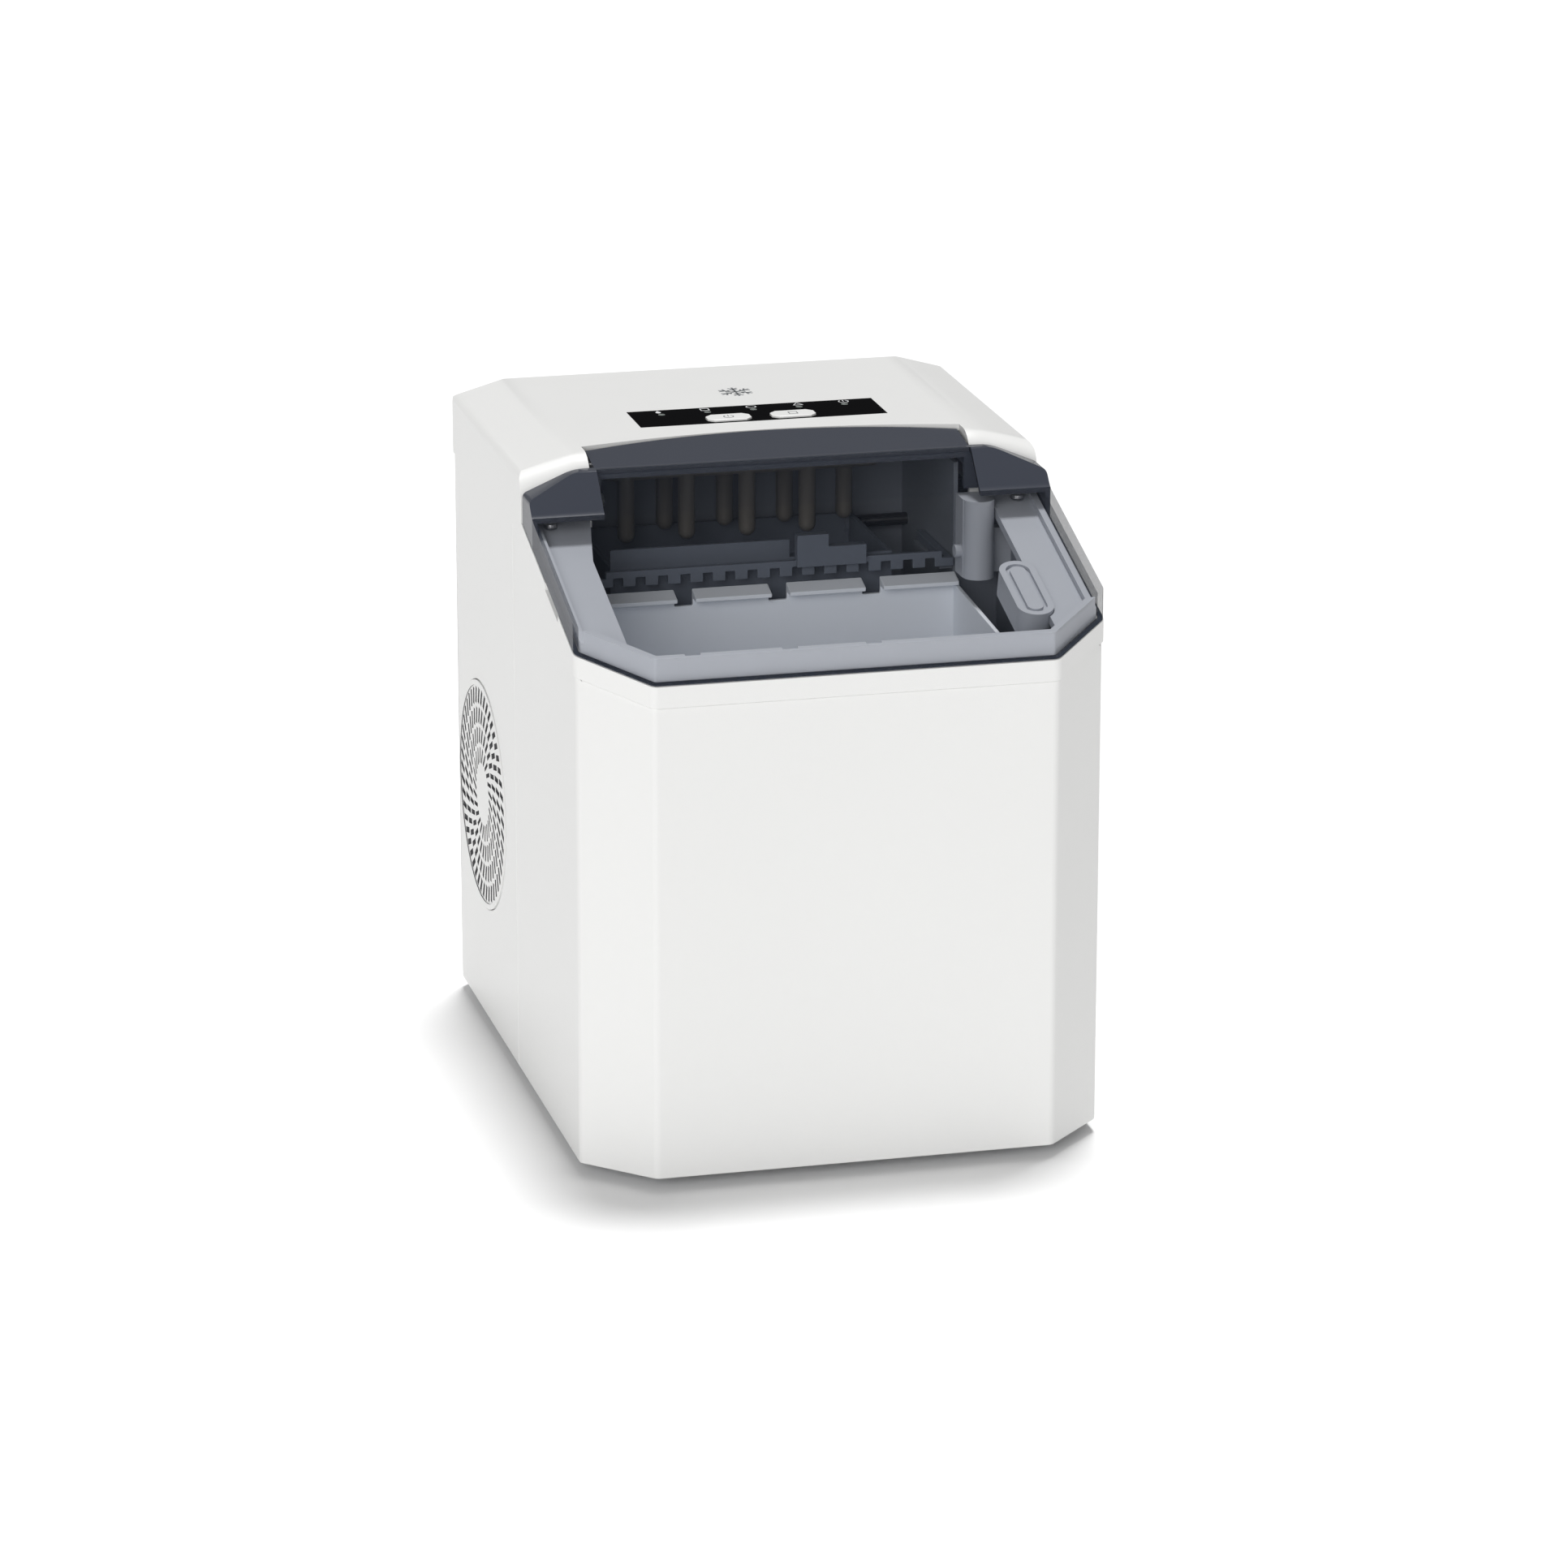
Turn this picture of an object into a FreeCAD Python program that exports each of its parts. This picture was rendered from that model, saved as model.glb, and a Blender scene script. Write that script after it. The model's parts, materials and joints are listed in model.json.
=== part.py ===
import FreeCAD, Part
import math
import os

os.makedirs("parts", exist_ok=True)

# Portable bullet ice maker. Millimetres, +Z up, front faces -Y.
# Origin: centre of the footprint, on the worktop the feet stand on.

# ---- overall case ----
WIDTH = 242.0
DEPTH = 306.0
HEIGHT = 305.0
FOOT_HEIGHT = 6.0
WALL = 2.5
FRONT_CHAMFER = 29.0
REAR_RADIUS = 8.0
FRONT_SOFT = 5.0
LEAST_ROUND = 0.5
TOUCH = 0.01
SEAM_GAP = 0.3
SPLIT_Y = 11.0

# ---- sloping seat that carries the bezel and lid ----
SEAT_FRONT_Z = 235.5
SEAT_SLOPE = 0.29
STEP_Y = -14.0
COVER_SKIRT = 10.0
COVER_PROUD = 0.8
ROOF = 3.0
ROOF_CHAMFER_RUN = 25.0
ROOF_CHAMFER_DROP = 7.0
ROOF_BLEND = 50.0
ROOF_SIDE_ROUND = 6.0
ROOF_FRONT_ROUND = 13.0
ROOF_REAR_ROUND = 10.0
REAR_SEAM_Z = 270.0
COVER_OPENING_INSET = 6.9
COVER_OPENING_HALF = 110.5
GRIP_START_Y = -92.0
GRIP_LENGTH = 27.0
GRIP_DEPTH = 3.0

# ---- lid ----
LID_SKIRT = 14.0
LID_SHEET = 2.5
HOLLOW_OVERRUN = 4.0
LID_PROUD = 0.5
LID_SEAT_GAP = 0.4
LID_REAR_GAP = 1.6
HUMP_FOOT_Y = -37.0
HUMP_TOP_Z = 300.2
HUMP_SLOPE = 0.155
HUMP_HALF = 88.0
HUMP_CORNER_Y = 3.5
HUMP_BOW = 12.0
HUMP_SIDE_GAP = 1.5
HUMP_BACK_GAP = 1.8
HUMP_FOOT_BLEND = 12.0
BROW_STRIP = 5.0
BROW_ROUND = 2.0
CHEEK_BOTTOM_Z = 291.5
CHEEK_WALL = 2.5
SHOULDER_INNER = 98.0
SHOULDER_DROP = 10.0
SHOULDER_BLEND = 24.0
SHOULDER_ROUND = 3.0
PIVOT_Y = -1.5
PIVOT_Z = 297.0
PIN_RADIUS = 2.0
PIN_FIT = 0.06
PIN_LENGTH = 9.0

# ---- bezel ----
BEZEL_FIT = 0.6
BEZEL_PLATE = 2.0
BEZEL_RIM = 3.0
BEZEL_RIM_GAP = 0.7
BEZEL_SIDE_RIM = 5.0
BEZEL_COLLAR = 2.2
BEZEL_COLLAR_WALL = 2.0
OPENING_REAR_HALF = 90.0
OPENING_HALF = 97.0
OPENING_WAIST_Y = -53.0
OPENING_FRONT_INSET = 6.6
RIM_SLOT_X = (-73.5, -29.5, 8.5)
RIM_SLOT_WIDTH = 7.0
RIM_SLOT_DEPTH = 1.5
FLANK_SCREW_X = 110.0
FLANK_SCREW_Y = -22.0
FLANK_SCREW_RADIUS = 3.0

# ---- inner liner ----
LINER_WALL = 2.0
LINER_HALF = 109.0
LINER_INSET = 9.2
BASIN_FLOOR_Z = 40.0
BASIN_BACK_Y = 3.0
BAY_HALF = 88.0
BAY_DEPTH = 92.0
BAY_FLOOR_Z = 190.0
BAY_TOP_Z = 288.0
LINER_FLANGE = 2.0
BASKET_REST_Z = 70.0
REST_WIDTH = 12.0
REAR_REST_INSET = 36.0
RAIL_LENGTH = 46.0
FOAM_GAP = 0.4
FOAM_DEPTH_BELOW = 14.0

# ---- ice basket ----
BASKET_HALF = 86.0
BASKET_WALL = 2.0
BASKET_BACK_GAP = 6.0
BASKET_FRONT_Y = -139.0
BASKET_FRONT_TOP_Z = 224.0
BASKET_BACK_TOP_Z = 234.8
BASKET_CORNER = 16.0
BASKET_RUN_GAP = 0.4
LIP_DEPTH = 8.5
LIP_RISE = 2.6
LIP_THICK = 1.8
LIP_COUNT = 4
LIP_NOTCH = 8.6
DRAIN_SLOT_LENGTH = 34.0
DRAIN_SLOT_WIDTH = 4.0
DRAIN_SLOT_PITCH = 12.0

# ---- water tray and shovel ----
TRAY_LEFT = -76.0
TRAY_RIGHT = 58.0
TRAY_FRONT_Y = 7.0
TRAY_BACK_Y = 81.0
TRAY_BOTTOM_Z = 226.0
TRAY_TOP_Z = 246.0
TRAY_WALL = 2.0
SPLASH_RIGHT = 9.0
SPLASH_TOP_Z = 254.5
TRAY_PIVOT_Y = 85.0
TRAY_PIVOT_Z = 240.0
TRAY_EAR = 7.0
TRAY_EAR_THICK = 4.0
SHAFT_RADIUS = 3.0
SHOVEL_FRONT_Y = -1.5
SHOVEL_THICK = 2.5
SHOVEL_BOTTOM_Z = 239.2
SHOVEL_TOP_Z = 246.5
SHOVEL_END = 80.0
SHOVEL_ARM = 4.0
SHOVEL_ARM_LENGTH = 52.0
SHOVEL_ARM_HEIGHT = 4.0
COMB_PITCH = 10.6
COMB_SLOT = 4.6
COMB_SLOT_HEIGHT = 4.2
BRACKET_LEFT = 10.0
BRACKET_STEP_X = 25.0
BRACKET_RIGHT = 43.0
BRACKET_TOP_Z = 259.0
BRACKET_STEP_Z = 253.0
BRACKET_PROUD = 2.8
RUNNING_GAP = 0.35

# ---- evaporator ----
FINGER_RADIUS = 4.0
FINGER_TIP_Z = 247.5
FINGER_FRONT_Y = 45.0
FINGER_ROW_GAP = 20.0
FINGER_START_X = -60.0
FINGER_PITCH = 29.0
FINGER_STAGGER = 23.0
FINGERS_PER_ROW = 4
EVAP_TUBE_RADIUS = 4.5
EVAP_TUBE_Z = 282.0
HANGER_THICK = 2.0

# ---- refrigeration deck ----
FAN_INSET = 63.5
FAN_Z = 116.0
GRILLE_RADIUS = 55.0
GRILLE_RIM = 2.5
GRILLE_HUB = 14.0
GRILLE_RINGS = 4
GRILLE_FIRST_COUNT = 24
GRILLE_COUNT_STEP = 8
GRILLE_SWIRL = 24.0
GRILLE_BAR = 1.4
GRILLE_SLOT_SHARE = 0.5
FAN_RADIUS = 49.0
FAN_HUB = 15.0
FAN_BLADES = 7
BLADE_HALF = 10.5
FAN_WIDTH = 12.0
FAN_PITCH_DEG = 32.0
FAN_GRILLE_GAP = 6.0
SHROUD_CLEAR = 3.0
SHROUD_WALL = 2.0
SHROUD_LENGTH = 26.0
SHROUD_PLATE = 112.0
FAN_MOTOR_RADIUS = 16.0
FAN_MOTOR_LENGTH = 14.0
SPIDER_WIDTH = 6.0
CONDENSER_THICK = 22.0
CONDENSER_SIDE = 108.0
CONDENSER_FINS = 18
CONDENSER_ROWS = 5
COMPRESSOR_X = 62.0
COMPRESSOR_Y = 92.0
COMPRESSOR_RADIUS = 46.0
COMPRESSOR_BOTTOM_Z = 18.0
COMPRESSOR_TOP_Z = 152.0
COMPRESSOR_DOME = 22.0
COMPRESSOR_WAIST = 2.0
BRACKET_HALF = 44.0
BRACKET_THICK = 2.5
GROMMET_RADIUS = 7.0
GROMMET_INSET = 8.0
DRIER_X = -30.0
DRIER_Y = 104.0
DRIER_RADIUS = 8.0
DRIER_LENGTH = 74.0
DRIER_BOTTOM_Z = 50.0
TUBE_RADIUS = 3.0
CAPILLARY_RADIUS = 1.6

# ---- water circuit ----
PUMP_X = -24.0
PUMP_Y = 34.0
PUMP_RADIUS = 17.0
PUMP_FLANGE = 20.4
PUMP_HEIGHT = 34.0
HOSE_RADIUS = 3.5
HOSE_X = -81.8
HOSE_Y = 69.0
HOSE_TOP_Z = 262.0
PLUG_X = 60.0
PLUG_Y = -99.0
PLUG_RADIUS = 8.0
PLUG_HEAD = 11.0
PLUG_HEAD_THICK = 2.5
DRAIN_WALL = 2.0

# ---- drive ----
GEARBOX_DEPTH = 44.0
GEARBOX_WIDTH = 22.0
GEARBOX_ROUND = 5.5
GEAR_MOTOR_RADIUS = 11.0
GEAR_MOTOR_LENGTH = 22.0
GEAR_COVER_LEFT = 82.0
GEAR_COVER_RIGHT = 97.0
GEAR_COVER_FRONT = -37.0
GEAR_COVER_BOTTOM_Z = 241.0
GEAR_COVER_RISE = 9.0
GEAR_TAB_BACK = 6.0
GEAR_TAB_TOP_Z = 262.0
SENSOR_X = 92.0
SENSOR_Y = -101.0
SENSOR_LENGTH = 47.0
SENSOR_WIDTH = 17.0
SENSOR_HEIGHT = 13.0
SENSOR_PROUD = 4.0
SENSOR_SLOT = 3.0
SENSOR_CORE_INSET = 4.8

# ---- controls ----
LABEL_WIDTH = 118.0
LABEL_DEPTH = 31.0
LABEL_X = 4.0
LABEL_Y = 49.5
LABEL_THICK = 0.5
BUTTON_WIDTH = 21.0
BUTTON_DEPTH = 11.0
BUTTON_CUT = 3.0
BUTTON_X = 15.4
BUTTON_Y = 42.0
BUTTON_PROUD = 0.9
BUTTON_GAP = 0.35
BUTTON_TRAVEL = 1.2
BOARD_Z = 295.0
BOARD_THICK = 1.6
BOARD_MARGIN = 4.0
LIGHT_RADIUS = 1.6
LIGHT_COUNT = 5
LIGHT_PITCH = 22.0
LIGHT_Y = 56.5
LIGHT_FIT = 0.2
SWITCH_SIDE = 6.0
SWITCH_GAP = 0.3
STEM_RADIUS = 2.5

# ---- rear and base ----
PAN_THICK = 2.0
PAN_RIM = 12.0
FOOT_RADIUS = 11.0
FOOT_STUD = 4.0
FOOT_BEVEL = 1.0
FOOT_X = 88.0
FOOT_FRONT_Y = -115.0
FOOT_REAR_Y = 127.0
PANEL_HALF = 104.0
PANEL_BOTTOM_Z = 28.0
PANEL_TOP_Z = 256.0
PANEL_FLANGE = 5.0
PANEL_SCREW_INSET = 8.0
SCREW_RADIUS = 3.5
SCREW_SINK = 1.4
VENT_LENGTH = 36.0
VENT_HEIGHT = 3.2
VENT_PITCH = 9.0
VENT_ROWS = 14
VENT_START_Z = 60.0
GLAND_X = -18.0
GLAND_Z = 46.0
GLAND_RADIUS = 8.0
GLAND_BORE = 3.6
POWER_LEFT = -44.0
POWER_WIDTH = 52.0
POWER_DEPTH = 18.0
POWER_BOTTOM_Z = 66.0
POWER_HEIGHT = 84.0

# ---- planes and places that follow from the sizes above ----
HALF_W = WIDTH / 2
FRONT_Y = -DEPTH / 2
REAR_Y = DEPTH / 2
FAN_Y = REAR_Y - FAN_INSET
LEFT_X = -HALF_W
DECK_Z = FOOT_HEIGHT + PAN_THICK
INNER_X = HALF_W - WALL


def seat_z(y):
    """Height of the sloping seat at depth y."""
    return SEAT_FRONT_Z + SEAT_SLOPE * (y - FRONT_Y)


def vec(x, y, z):
    """Point or direction."""
    return FreeCAD.Vector(x, y, z)


def box(x0, x1, y0, y1, z0, z1):
    """Block between two limits on each axis."""
    return Part.makeBox(x1 - x0, y1 - y0, z1 - z0, vec(x0, y0, z0))


def rod(radius, start, end):
    """Round bar between two points."""
    along = end - start
    return Part.makeCylinder(radius, along.Length, start, along)


def run_of_tube(radius, points):
    """Tube through a list of points, with a ball at each bend."""
    pieces = [rod(radius, a, b) for a, b in zip(points[:-1], points[1:])]
    pieces += [Part.makeSphere(radius, p) for p in points[1:-1]]
    return fuse(pieces)


def fuse(pieces):
    """One solid from pieces that touch or overlap."""
    solid = pieces[0].multiFuse(pieces[1:]) if len(pieces) > 1 else pieces[0]
    return solid.removeSplitter()


def face_of(points):
    return Part.Face(Part.makePolygon(points + [points[0]]))


def across(profile, x0, x1):
    """Extrude a (y, z) profile along X."""
    points = [vec(x0, y, z) for y, z in profile]
    return face_of(points).extrude(vec(x1 - x0, 0, 0))


def along(profile, y0, y1):
    """Extrude an (x, z) profile along Y."""
    points = [vec(x, y0, z) for x, z in profile]
    return face_of(points).extrude(vec(0, y1 - y0, 0))


def upright(profile, z0, z1):
    """Extrude an (x, y) profile along Z."""
    points = [vec(x, y, z0) for x, y in profile]
    return face_of(points).extrude(vec(0, 0, z1 - z0))


def rounded(solid, radius, **place):
    """Round the straight edges that run through a place given by two of its coordinates."""
    if radius < LEAST_ROUND:
        return solid
    edges = []
    for edge in solid.Edges:
        ends = [vertex.Point for vertex in edge.Vertexes]
        if all(abs(getattr(end, axis) - value) < TOUCH for end in ends for axis, value in place.items()):
            edges.append(edge)
    return solid.makeFillet(radius, edges)


def chamfer_side(chamfer, inset):
    """Side of a 45 degree corner cut once the outline has moved in by inset."""
    return chamfer - inset * (2 - math.sqrt(2))


def case_prism(inset, z0, z1):
    """Footprint of the case, moved in by inset, as an upright prism."""
    half = HALF_W - inset
    front = FRONT_Y + inset
    rear = REAR_Y - inset
    cut = chamfer_side(FRONT_CHAMFER, inset)
    profile = [(-half, rear), (-half, front + cut), (-half + cut, front),
               (half - cut, front), (half, front + cut), (half, rear)]
    solid = upright(profile, z0, z1)
    for x, y in profile:
        radius = REAR_RADIUS if y == rear else FRONT_SOFT
        solid = rounded(solid, radius - inset, x=x, y=y)
    return solid


def seat_layer(low, high, y0, y1):
    """Slab between two heights measured from the sloping seat."""
    reach = WIDTH
    profile = [(y0, seat_z(y0) + low), (y1, seat_z(y1) + low),
               (y1, seat_z(y1) + high), (y0, seat_z(y0) + high)]
    return across(profile, -reach, reach)


def above_seat(offset, y1):
    """Everything in front of y1 and above the seat."""
    y0 = FRONT_Y * 2
    top = HEIGHT * 2
    profile = [(y0, seat_z(y0) + offset), (y1, seat_z(y1) + offset), (y1, top), (y0, top)]
    return across(profile, -WIDTH, WIDTH)


def above_seam(lift):
    """Everything above the line where the cover meets the case."""
    y0 = FRONT_Y * 2
    y1 = REAR_Y * 2
    top = HEIGHT * 2
    knee = FRONT_Y + (REAR_SEAM_Z + COVER_SKIRT - SEAT_FRONT_Z) / SEAT_SLOPE
    profile = [(y0, seat_z(y0) - COVER_SKIRT + lift), (knee, REAR_SEAM_Z + lift),
               (y1, REAR_SEAM_Z + lift), (y1, top), (y0, top)]
    return across(profile, -WIDTH, WIDTH)


def mirrored(shape):
    """The same shape on the other side of the machine."""
    return shape.mirror(vec(0, 0, 0), vec(1, 0, 0))


def export(name, shape):
    """Write one named node."""
    shape.exportStep("parts/" + name + ".step")


# ---------------------------------------------------------------- case

def case_shell():
    """Upright wall of the case, up to the seam of the top cover."""
    outer = case_prism(0, FOOT_HEIGHT, HEIGHT)
    inner = case_prism(WALL, 0, HEIGHT * 2)
    return outer.cut(inner).cut(above_seam(0))


def grille_seat(radius):
    centre = vec(LEFT_X - WALL, FAN_Y, FAN_Z)
    return rod(radius, centre, centre + vec(WALL * 3, 0, 0))


def panel_opening(gap):
    return box(-PANEL_HALF - gap, PANEL_HALF + gap, REAR_Y - WALL * 2, REAR_Y + WALL,
               PANEL_BOTTOM_Z - gap, PANEL_TOP_Z + gap)


def side_vents():
    slots = []
    for row in range(VENT_ROWS):
        z = VENT_START_Z + row * VENT_PITCH
        slots.append(box(HALF_W - WALL * 2, HALF_W + WALL, COMPRESSOR_Y - VENT_LENGTH,
                         COMPRESSOR_Y + VENT_LENGTH, z, z + VENT_HEIGHT))
    return Part.makeCompound(slots)


def make_case():
    shell = case_shell()
    front = shell.common(box(-WIDTH, WIDTH, FRONT_Y * 2, SPLIT_Y - SEAM_GAP / 2, 0, HEIGHT))
    rear = shell.common(box(-WIDTH, WIDTH, SPLIT_Y + SEAM_GAP / 2, REAR_Y * 2, 0, HEIGHT))
    rear = rear.cut(grille_seat(GRILLE_RADIUS + SEAM_GAP))
    rear = rear.cut(panel_opening(SEAM_GAP))
    rear = rear.cut(side_vents())
    export("front_wrap", front)
    export("rear_shell", rear)


def make_fan_grille():
    start = vec(LEFT_X, FAN_Y, FAN_Z)
    disc = rod(GRILLE_RADIUS, start, start + vec(WALL, 0, 0))
    rim = rod(GRILLE_RADIUS, start - vec(COVER_PROUD / 2, 0, 0), start)
    rim = rim.cut(rod(GRILLE_RADIUS - GRILLE_RIM, start - vec(WALL, 0, 0), start + vec(WALL, 0, 0)))
    # a flange behind the wall holds the disc in its hole
    back = start + vec(WALL, 0, 0)
    flange = rod(GRILLE_RADIUS + GRILLE_RIM, back, back + vec(BEZEL_PLATE / 2, 0, 0))
    flange = flange.cut(rod(GRILLE_RADIUS - GRILLE_RIM, start, back + vec(WALL, 0, 0)))
    flange = flange.common(case_prism(WALL, 0, HEIGHT))
    pitch = (GRILLE_RADIUS - GRILLE_RIM - GRILLE_HUB) / GRILLE_RINGS
    slots = []
    for ring in range(GRILLE_RINGS):
        inner = GRILLE_HUB + ring * pitch + GRILLE_BAR / 2
        outer = inner + pitch - GRILLE_BAR
        count = GRILLE_FIRST_COUNT + ring * GRILLE_COUNT_STEP
        width = 2 * math.pi * inner / count * GRILLE_SLOT_SHARE
        slot = box(-WALL, WALL * 2, -width / 2, width / 2, inner, outer)
        slot.rotate(vec(0, 0, (inner + outer) / 2), vec(1, 0, 0), GRILLE_SWIRL)
        for index in range(count):
            one = slot.copy()
            one.rotate(vec(0, 0, 0), vec(1, 0, 0), 360.0 * index / count)
            one.translate(start)
            slots.append(one)
    disc = disc.cut(Part.makeCompound(slots))
    export("fan_grille", fuse([disc, rim, flange]))


def make_rear_panel():
    plate = box(-PANEL_HALF, PANEL_HALF, REAR_Y - WALL, REAR_Y, PANEL_BOTTOM_Z, PANEL_TOP_Z)
    reach = PANEL_FLANGE
    flange = box(-PANEL_HALF - reach, PANEL_HALF + reach, REAR_Y - WALL * 2, REAR_Y - WALL,
                 PANEL_BOTTOM_Z - reach, PANEL_TOP_Z + reach)
    panel = plate.fuse(flange)
    cuts = []
    for column in (-1, 1):
        for row in range(VENT_ROWS):
            z = VENT_START_Z + row * VENT_PITCH
            x = column * (PANEL_HALF - VENT_LENGTH)
            cuts.append(box(x - VENT_LENGTH / 2, x + VENT_LENGTH / 2, REAR_Y - WALL * 3,
                            REAR_Y + WALL, z, z + VENT_HEIGHT))
    for point in panel_screw_points():
        cuts.append(rod(SCREW_RADIUS + SEAM_GAP, point, point + vec(0, WALL * 2, 0)))
    gland = vec(GLAND_X, REAR_Y - WALL * 3, GLAND_Z)
    cuts.append(rod(GLAND_RADIUS, gland, gland + vec(0, WALL * 4, 0)))
    export("rear_panel", panel.cut(Part.makeCompound(cuts)))
    bushing = rod(GLAND_RADIUS, gland, vec(GLAND_X, REAR_Y, GLAND_Z))
    collar = rod(GLAND_RADIUS + WALL, gland - vec(0, WALL, 0), gland + vec(0, WALL, 0))
    bore = rod(GLAND_BORE, gland - vec(0, WALL * 2, 0), gland + vec(0, WALL * 4, 0))
    export("cable_gland", bushing.fuse(collar).cut(bore))
    heads = [rod(SCREW_RADIUS, point, point + vec(0, SCREW_SINK, 0)) for point in panel_screw_points()]
    export("panel_screws", Part.makeCompound(heads))


def panel_screw_points():
    x = PANEL_HALF - PANEL_SCREW_INSET
    low = PANEL_BOTTOM_Z + PANEL_SCREW_INSET
    high = PANEL_TOP_Z - PANEL_SCREW_INSET
    y = REAR_Y - SCREW_SINK - SEAM_GAP
    return [vec(side * x, y, z) for side in (-1, 1) for z in (low, (low + high) / 2, high)]


# ---------------------------------------------------------------- top cover

def roof_profile(out, drop):
    """Cross-section of the cover: flat roof with sloping sides."""
    half = HALF_W + out
    top = HEIGHT - drop
    flat = half - ROOF_CHAMFER_RUN
    edge = top - ROOF_CHAMFER_DROP
    return [(-half, 0), (-half, edge), (-flat, top), (flat, top), (half, edge), (half, 0)]


def roof_block(out, drop, front):
    """Everything under the roof and behind its front edge, with the roof's edges rounded."""
    less = min(out, 0)
    half = HALF_W + out
    flat = half - ROOF_CHAMFER_RUN
    top = HEIGHT - drop
    rear = REAR_Y + out
    body = along(roof_profile(out, drop), front, rear)
    slab = across([(front, 0), (rear, 0), (rear, top), (front, top)], -WIDTH, WIDTH)
    slab = rounded(slab, ROOF_FRONT_ROUND + less, y=front, z=top)
    slab = rounded(slab, ROOF_REAR_ROUND + less, y=rear, z=top)
    tilt = math.degrees(math.atan(ROOF_CHAMFER_DROP / ROOF_CHAMFER_RUN))
    for side in (-1, 1):
        body = rounded(body, ROOF_BLEND, x=side * flat, z=top)
        body = rounded(body, ROOF_SIDE_ROUND + less, x=side * half, z=top - ROOF_CHAMFER_DROP)
    body = body.common(slab)
    for side in (-1, 1):
        leaning = slab.copy()
        leaning.rotate(vec(side * flat, 0, top), vec(0, 1, 0), side * tilt)
        body = body.common(leaning)
    return body


def bow_cutter(gap, z0, z1):
    """Space behind the bowed rear edge of the hump."""
    corner = HUMP_CORNER_Y + gap
    middle = corner + HUMP_BOW
    half = HUMP_HALF + HUMP_SIDE_GAP
    arc = Part.Arc(vec(-half, corner, z0), vec(0, middle, z0), vec(half, corner, z0)).toShape()
    reach = REAR_Y
    sides = Part.makePolygon([vec(half, corner, z0), vec(WIDTH, corner, z0), vec(WIDTH, reach, z0),
                              vec(-WIDTH, reach, z0), vec(-WIDTH, corner, z0), vec(-half, corner, z0)])
    wire = Part.Wire([arc] + sides.Edges)
    return Part.Face(wire).extrude(vec(0, 0, z1 - z0))


def hinge_bore(radius, reach):
    return rod(radius, vec(-reach, PIVOT_Y, PIVOT_Z), vec(reach, PIVOT_Y, PIVOT_Z))


def make_top_cover():
    """White cover with the sloping seat, the roof, the hinge cheeks and the two side grips."""
    body = case_prism(-COVER_PROUD, 0, HEIGHT).common(above_seam(SEAM_GAP))
    seat_part = body.common(box(-WIDTH, WIDTH, FRONT_Y * 2, STEP_Y + WALL, 0, seat_z(STEP_Y)))
    roof_part = body.common(roof_block(COVER_PROUD, 0, STEP_Y))
    outer = fuse([seat_part.cut(above_seat(0, STEP_Y)), roof_part])
    hollow = case_prism(WALL, 0, HEIGHT)
    inner_step = STEP_Y + WALL
    seat_hollow = hollow.common(box(-WIDTH, WIDTH, FRONT_Y * 2, inner_step + WALL, 0,
                                    seat_z(inner_step) - WALL))
    cover = outer.cut(seat_hollow.cut(above_seat(-WALL, inner_step)))
    cover = cover.cut(hollow.common(roof_block(-WALL, ROOF, inner_step)))
    opening = case_prism(COVER_OPENING_INSET, 0, HEIGHT * 2)
    opening = opening.common(box(-COVER_OPENING_HALF, COVER_OPENING_HALF, FRONT_Y, STEP_Y - WALL, 0,
                                 HEIGHT))
    cover = cover.cut(opening)
    notch_half = HUMP_HALF + HUMP_SIDE_GAP
    notch = box(-notch_half, notch_half, STEP_Y - WALL * 2, REAR_Y, 0, HEIGHT * 2)
    cover = cover.cut(notch.cut(bow_cutter(HUMP_BACK_GAP, 0, HEIGHT * 2)))
    cheeks = []
    for side in (-1, 1):
        low = side * notch_half
        high = side * (notch_half + PIN_LENGTH - HUMP_SIDE_GAP)
        cheek = box(min(low, high), max(low, high), STEP_Y, PIVOT_Y + PIN_RADIUS * 4,
                    PIVOT_Z - PIN_RADIUS * 3, HEIGHT - ROOF)
        cheeks.append(cheek.common(roof_part))
    cover = fuse([cover] + cheeks)
    cover = cover.cut(hinge_bore(PIN_RADIUS + PIN_FIT / 2, notch_half + PIN_LENGTH))
    cover = cover.cut(label_holes())
    cover = cover.cut(label_sheet(HEIGHT * 2))
    for side in (-1, 1):
        grip = seat_layer(-GRIP_DEPTH, WALL, GRIP_START_Y, GRIP_START_Y + GRIP_LENGTH)
        edge = side * (HALF_W + COVER_PROUD)
        inside = side * (HALF_W - WALL / 2)
        grip = grip.common(box(min(edge * 2, inside), max(edge * 2, inside), FRONT_Y, REAR_Y, 0, HEIGHT))
        cover = cover.cut(grip)
    export("top_cover", cover)


# ---------------------------------------------------------------- controls

def button_profile(x, grow):
    half = BUTTON_WIDTH / 2 + grow
    deep = BUTTON_DEPTH / 2 + grow
    cut = BUTTON_CUT
    return [(x - half + cut, BUTTON_Y - deep), (x + half - cut, BUTTON_Y - deep),
            (x + half, BUTTON_Y - deep + cut), (x + half, BUTTON_Y + deep - cut),
            (x + half - cut, BUTTON_Y + deep), (x - half + cut, BUTTON_Y + deep),
            (x - half, BUTTON_Y + deep - cut), (x - half, BUTTON_Y - deep + cut)]


def light_points(z):
    start = LABEL_X - LIGHT_PITCH * (LIGHT_COUNT - 1) / 2
    return [vec(start + index * LIGHT_PITCH, LIGHT_Y, z) for index in range(LIGHT_COUNT)]


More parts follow.
